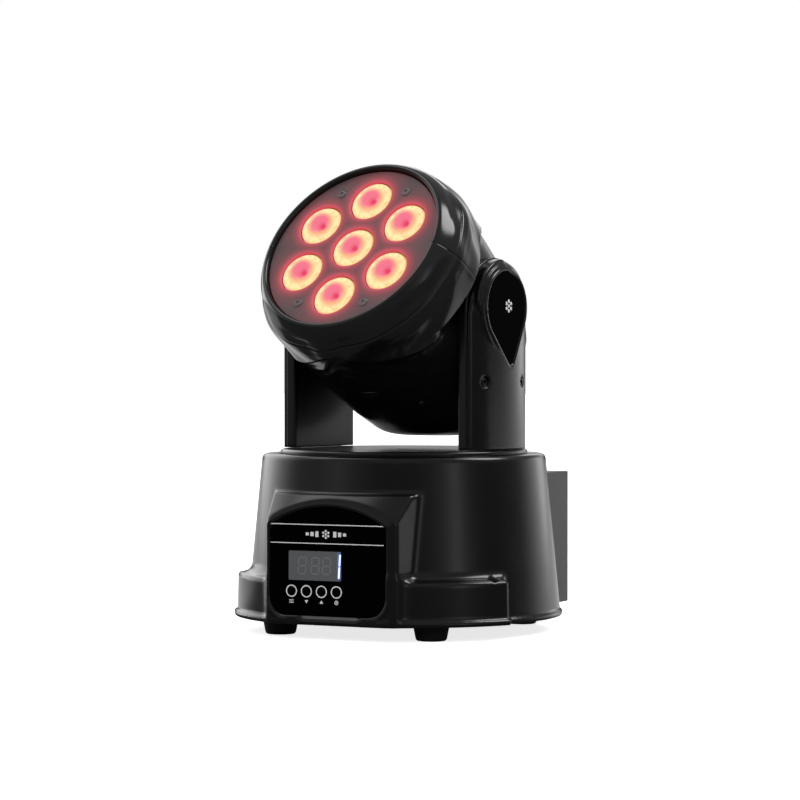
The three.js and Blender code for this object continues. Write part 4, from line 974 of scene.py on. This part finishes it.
# Rear grille, with the fan behind it.
slots = [rounded_rect(abs(z) * 0.42 - 27, 27 - abs(z) * 0.42, z - 1.4, z + 1.4, 1.39, 5) for z in range(-24, 25, 6)]
plate("rear_grille", [circle(0, 0, 33.2, 96), *slots], -64.7, -62.9, FACE, SHELL, "head", (), "black_shell",
      bevel=0.3)

# ---------- CAD nodes that stay, and the set
slot_of = {row["node"]: row["material_slot"] for row in frame["record"]["subparts"]}
for name, made in frame["nodes"].items():
    made.data.materials.clear()
    made.data.materials.append(BY_SLOT[slot_of[name]])
    if not made.hide_render:
        finish_mesh(made.data, 30)
for name, width in (("rear_connector_box", 0.7), ("bottom_plate", 0.3)):
    round_edges(frame["nodes"][name], width)

floor_mesh = bpy.data.meshes.new("floor")
reach = 12.0
floor_mesh.from_pydata([(-reach, -reach, 0), (reach, -reach, 0), (reach, reach, 0), (-reach, reach, 0)], [],
                       [(0, 1, 2, 3)])
floor = bpy.data.objects.new("floor", floor_mesh)
bpy.context.scene.collection.objects.link(floor)
FLOOR_GLOW = 0.78
floor_material, tree, seen = principled("pale_floor", (0.9, 0.9, 0.9), 0.9)
seen.inputs["Emission Color"].default_value = (1, 1, 1, 1)
seen.inputs["Emission Strength"].default_value = FLOOR_GLOW
# Reflections see a floor that is dark in front of the object and to its right.
spot = node(tree, "ShaderNodeTexCoord").outputs["Object"]
spread = node(tree, "ShaderNodeSeparateXYZ", Vector=spot).outputs
to_right = calculated(tree, "MAXIMUM", spread["X"], 0.0)
behind_right = calculated(tree, "MULTIPLY_ADD", to_right, -0.38, spread["Y"])
unseen = node(tree, "ShaderNodeBsdfDiffuse", Color=mapped(tree, behind_right, -0.03, 0.05, 0.10, 0.75, smooth=True))
camera_ray = node(tree, "ShaderNodeLightPath").outputs["Is Camera Ray"]
either = node(tree, "ShaderNodeMixShader", {0: camera_ray, 1: unseen.outputs["BSDF"], 2: seen.outputs["BSDF"]})
tree.links.new(either.outputs["Shader"], tree.nodes["Material Output"].inputs["Surface"])
floor_mesh.materials.append(floor_material)

# The fill reaches matt surfaces only. The studio's panels are in the world, since gloss shows them: brightness by
# azimuth (0 in front of the console, 90 at its right), faded out above.
fill = bpy.data.objects.new("fill", bpy.data.lights.new("fill", "AREA"))
fill.data.shape = "RECTANGLE"
fill.data.size, fill.data.size_y = 1.6, 1.6
fill.data.energy = 38
fill.location = (0.9, -2.0, 1.5)
fill.rotation_euler = (Vector((0, 0, 0.12)) - fill.location).to_track_quat("-Z", "Y").to_euler()
fill.visible_glossy = False
bpy.context.scene.collection.objects.link(fill)

STUDIO = [(-180, 0.9), (-150, 1.5), (-110, 2.3), (-95, 1.5), (-83, 0.9), (-73, 0.43), (-64, 0.3), (-47, 0.3),
          (-36, 0.42), (-26, 0.5), (-13, 0.27), (6, 0.12), (35, 0.12), (48, 0.2), (60, 0.45), (67, 1.1), (73, 0.5),
          (80, 0.22), (93, 0.11), (118, 0.13), (128, 0.17), (137, 0.42), (146, 0.85), (154, 1.15), (160, 1.5),
          (167, 2.1), (173, 1.6), (180, 0.9)]
CEILING = 0.28
world = bpy.data.worlds.new("studio")
world.use_nodes = True
bpy.context.scene.world = world
tree = world.node_tree
background = tree.nodes["Background"]
sky = node(tree, "ShaderNodeTexCoord").outputs["Generated"]
parts = node(tree, "ShaderNodeSeparateXYZ", Vector=sky).outputs
turn = calculated(tree, "ARCTAN2", parts["X"], calculated(tree, "MULTIPLY", parts["Y"], -1))
PEAK = 2.5
panels = color_ramp(tree, mapped(tree, turn, -math.pi, math.pi), [
    ((degrees + 180) / 360, (*[bright / PEAK] * 3, 1)) for degrees, bright in STUDIO])
scaled = calculated(tree, "MULTIPLY", panels, PEAK)


def soft_light(degrees, rise, outside, within, strength=1.0):
    """A round light in the sky: nothing outside one angle from its direction, and its strength within another."""
    a, e = math.radians(degrees), math.radians(rise)
    direction = (math.sin(a) * math.cos(e), -math.cos(a) * math.cos(e), math.sin(e))
    near = node(tree, "ShaderNodeVectorMath", {0: sky, 1: direction}, operation="DOT_PRODUCT").outputs["Value"]
    low, high = math.cos(math.radians(outside)), math.cos(math.radians(within))
    return mapped(tree, near, low, high, 0.0, strength, smooth=True)


# The left panels are tall, and the right ones low.
limit = mapped(tree, parts["X"], -0.45, -0.1, math.sin(math.radians(27)), math.sin(math.radians(7)), smooth=True)
height = mapped(tree, calculated(tree, "SUBTRACT", parts["Z"], limit), 0.0, 0.27, smooth=True)
faded = node(tree, "ShaderNodeMix", {0: height, 2: scaled, 3: CEILING}, data_type="FLOAT").outputs[0]
# A gap behind the object, a key high on its right and a softer light high on its left.
near_horizon = mapped(tree, parts["Z"], 0.07, 0.18, 1.0, 0.0, smooth=True)
gap = calculated(tree, "MULTIPLY", soft_light(-153.5, 3, 29.541, 18.195), near_horizon)
dimmed = calculated(tree, "MULTIPLY", faded, mapped(tree, gap, 0.0, 1.0, 1.0, 0.05))
key_light = soft_light(120, 50, 17, 9, 7.0)
top_light = soft_light(-84, 63, 26, 12, 1.5)
light = calculated(tree, "ADD", calculated(tree, "ADD", dimmed, key_light), top_light)
camera_ray = node(tree, "ShaderNodeLightPath").outputs["Is Camera Ray"]
tree.links.new(mixed(tree, camera_ray, light, (1, 1, 1, 1)), background.inputs["Color"])
bpy.context.scene.view_settings.view_transform = "Standard"
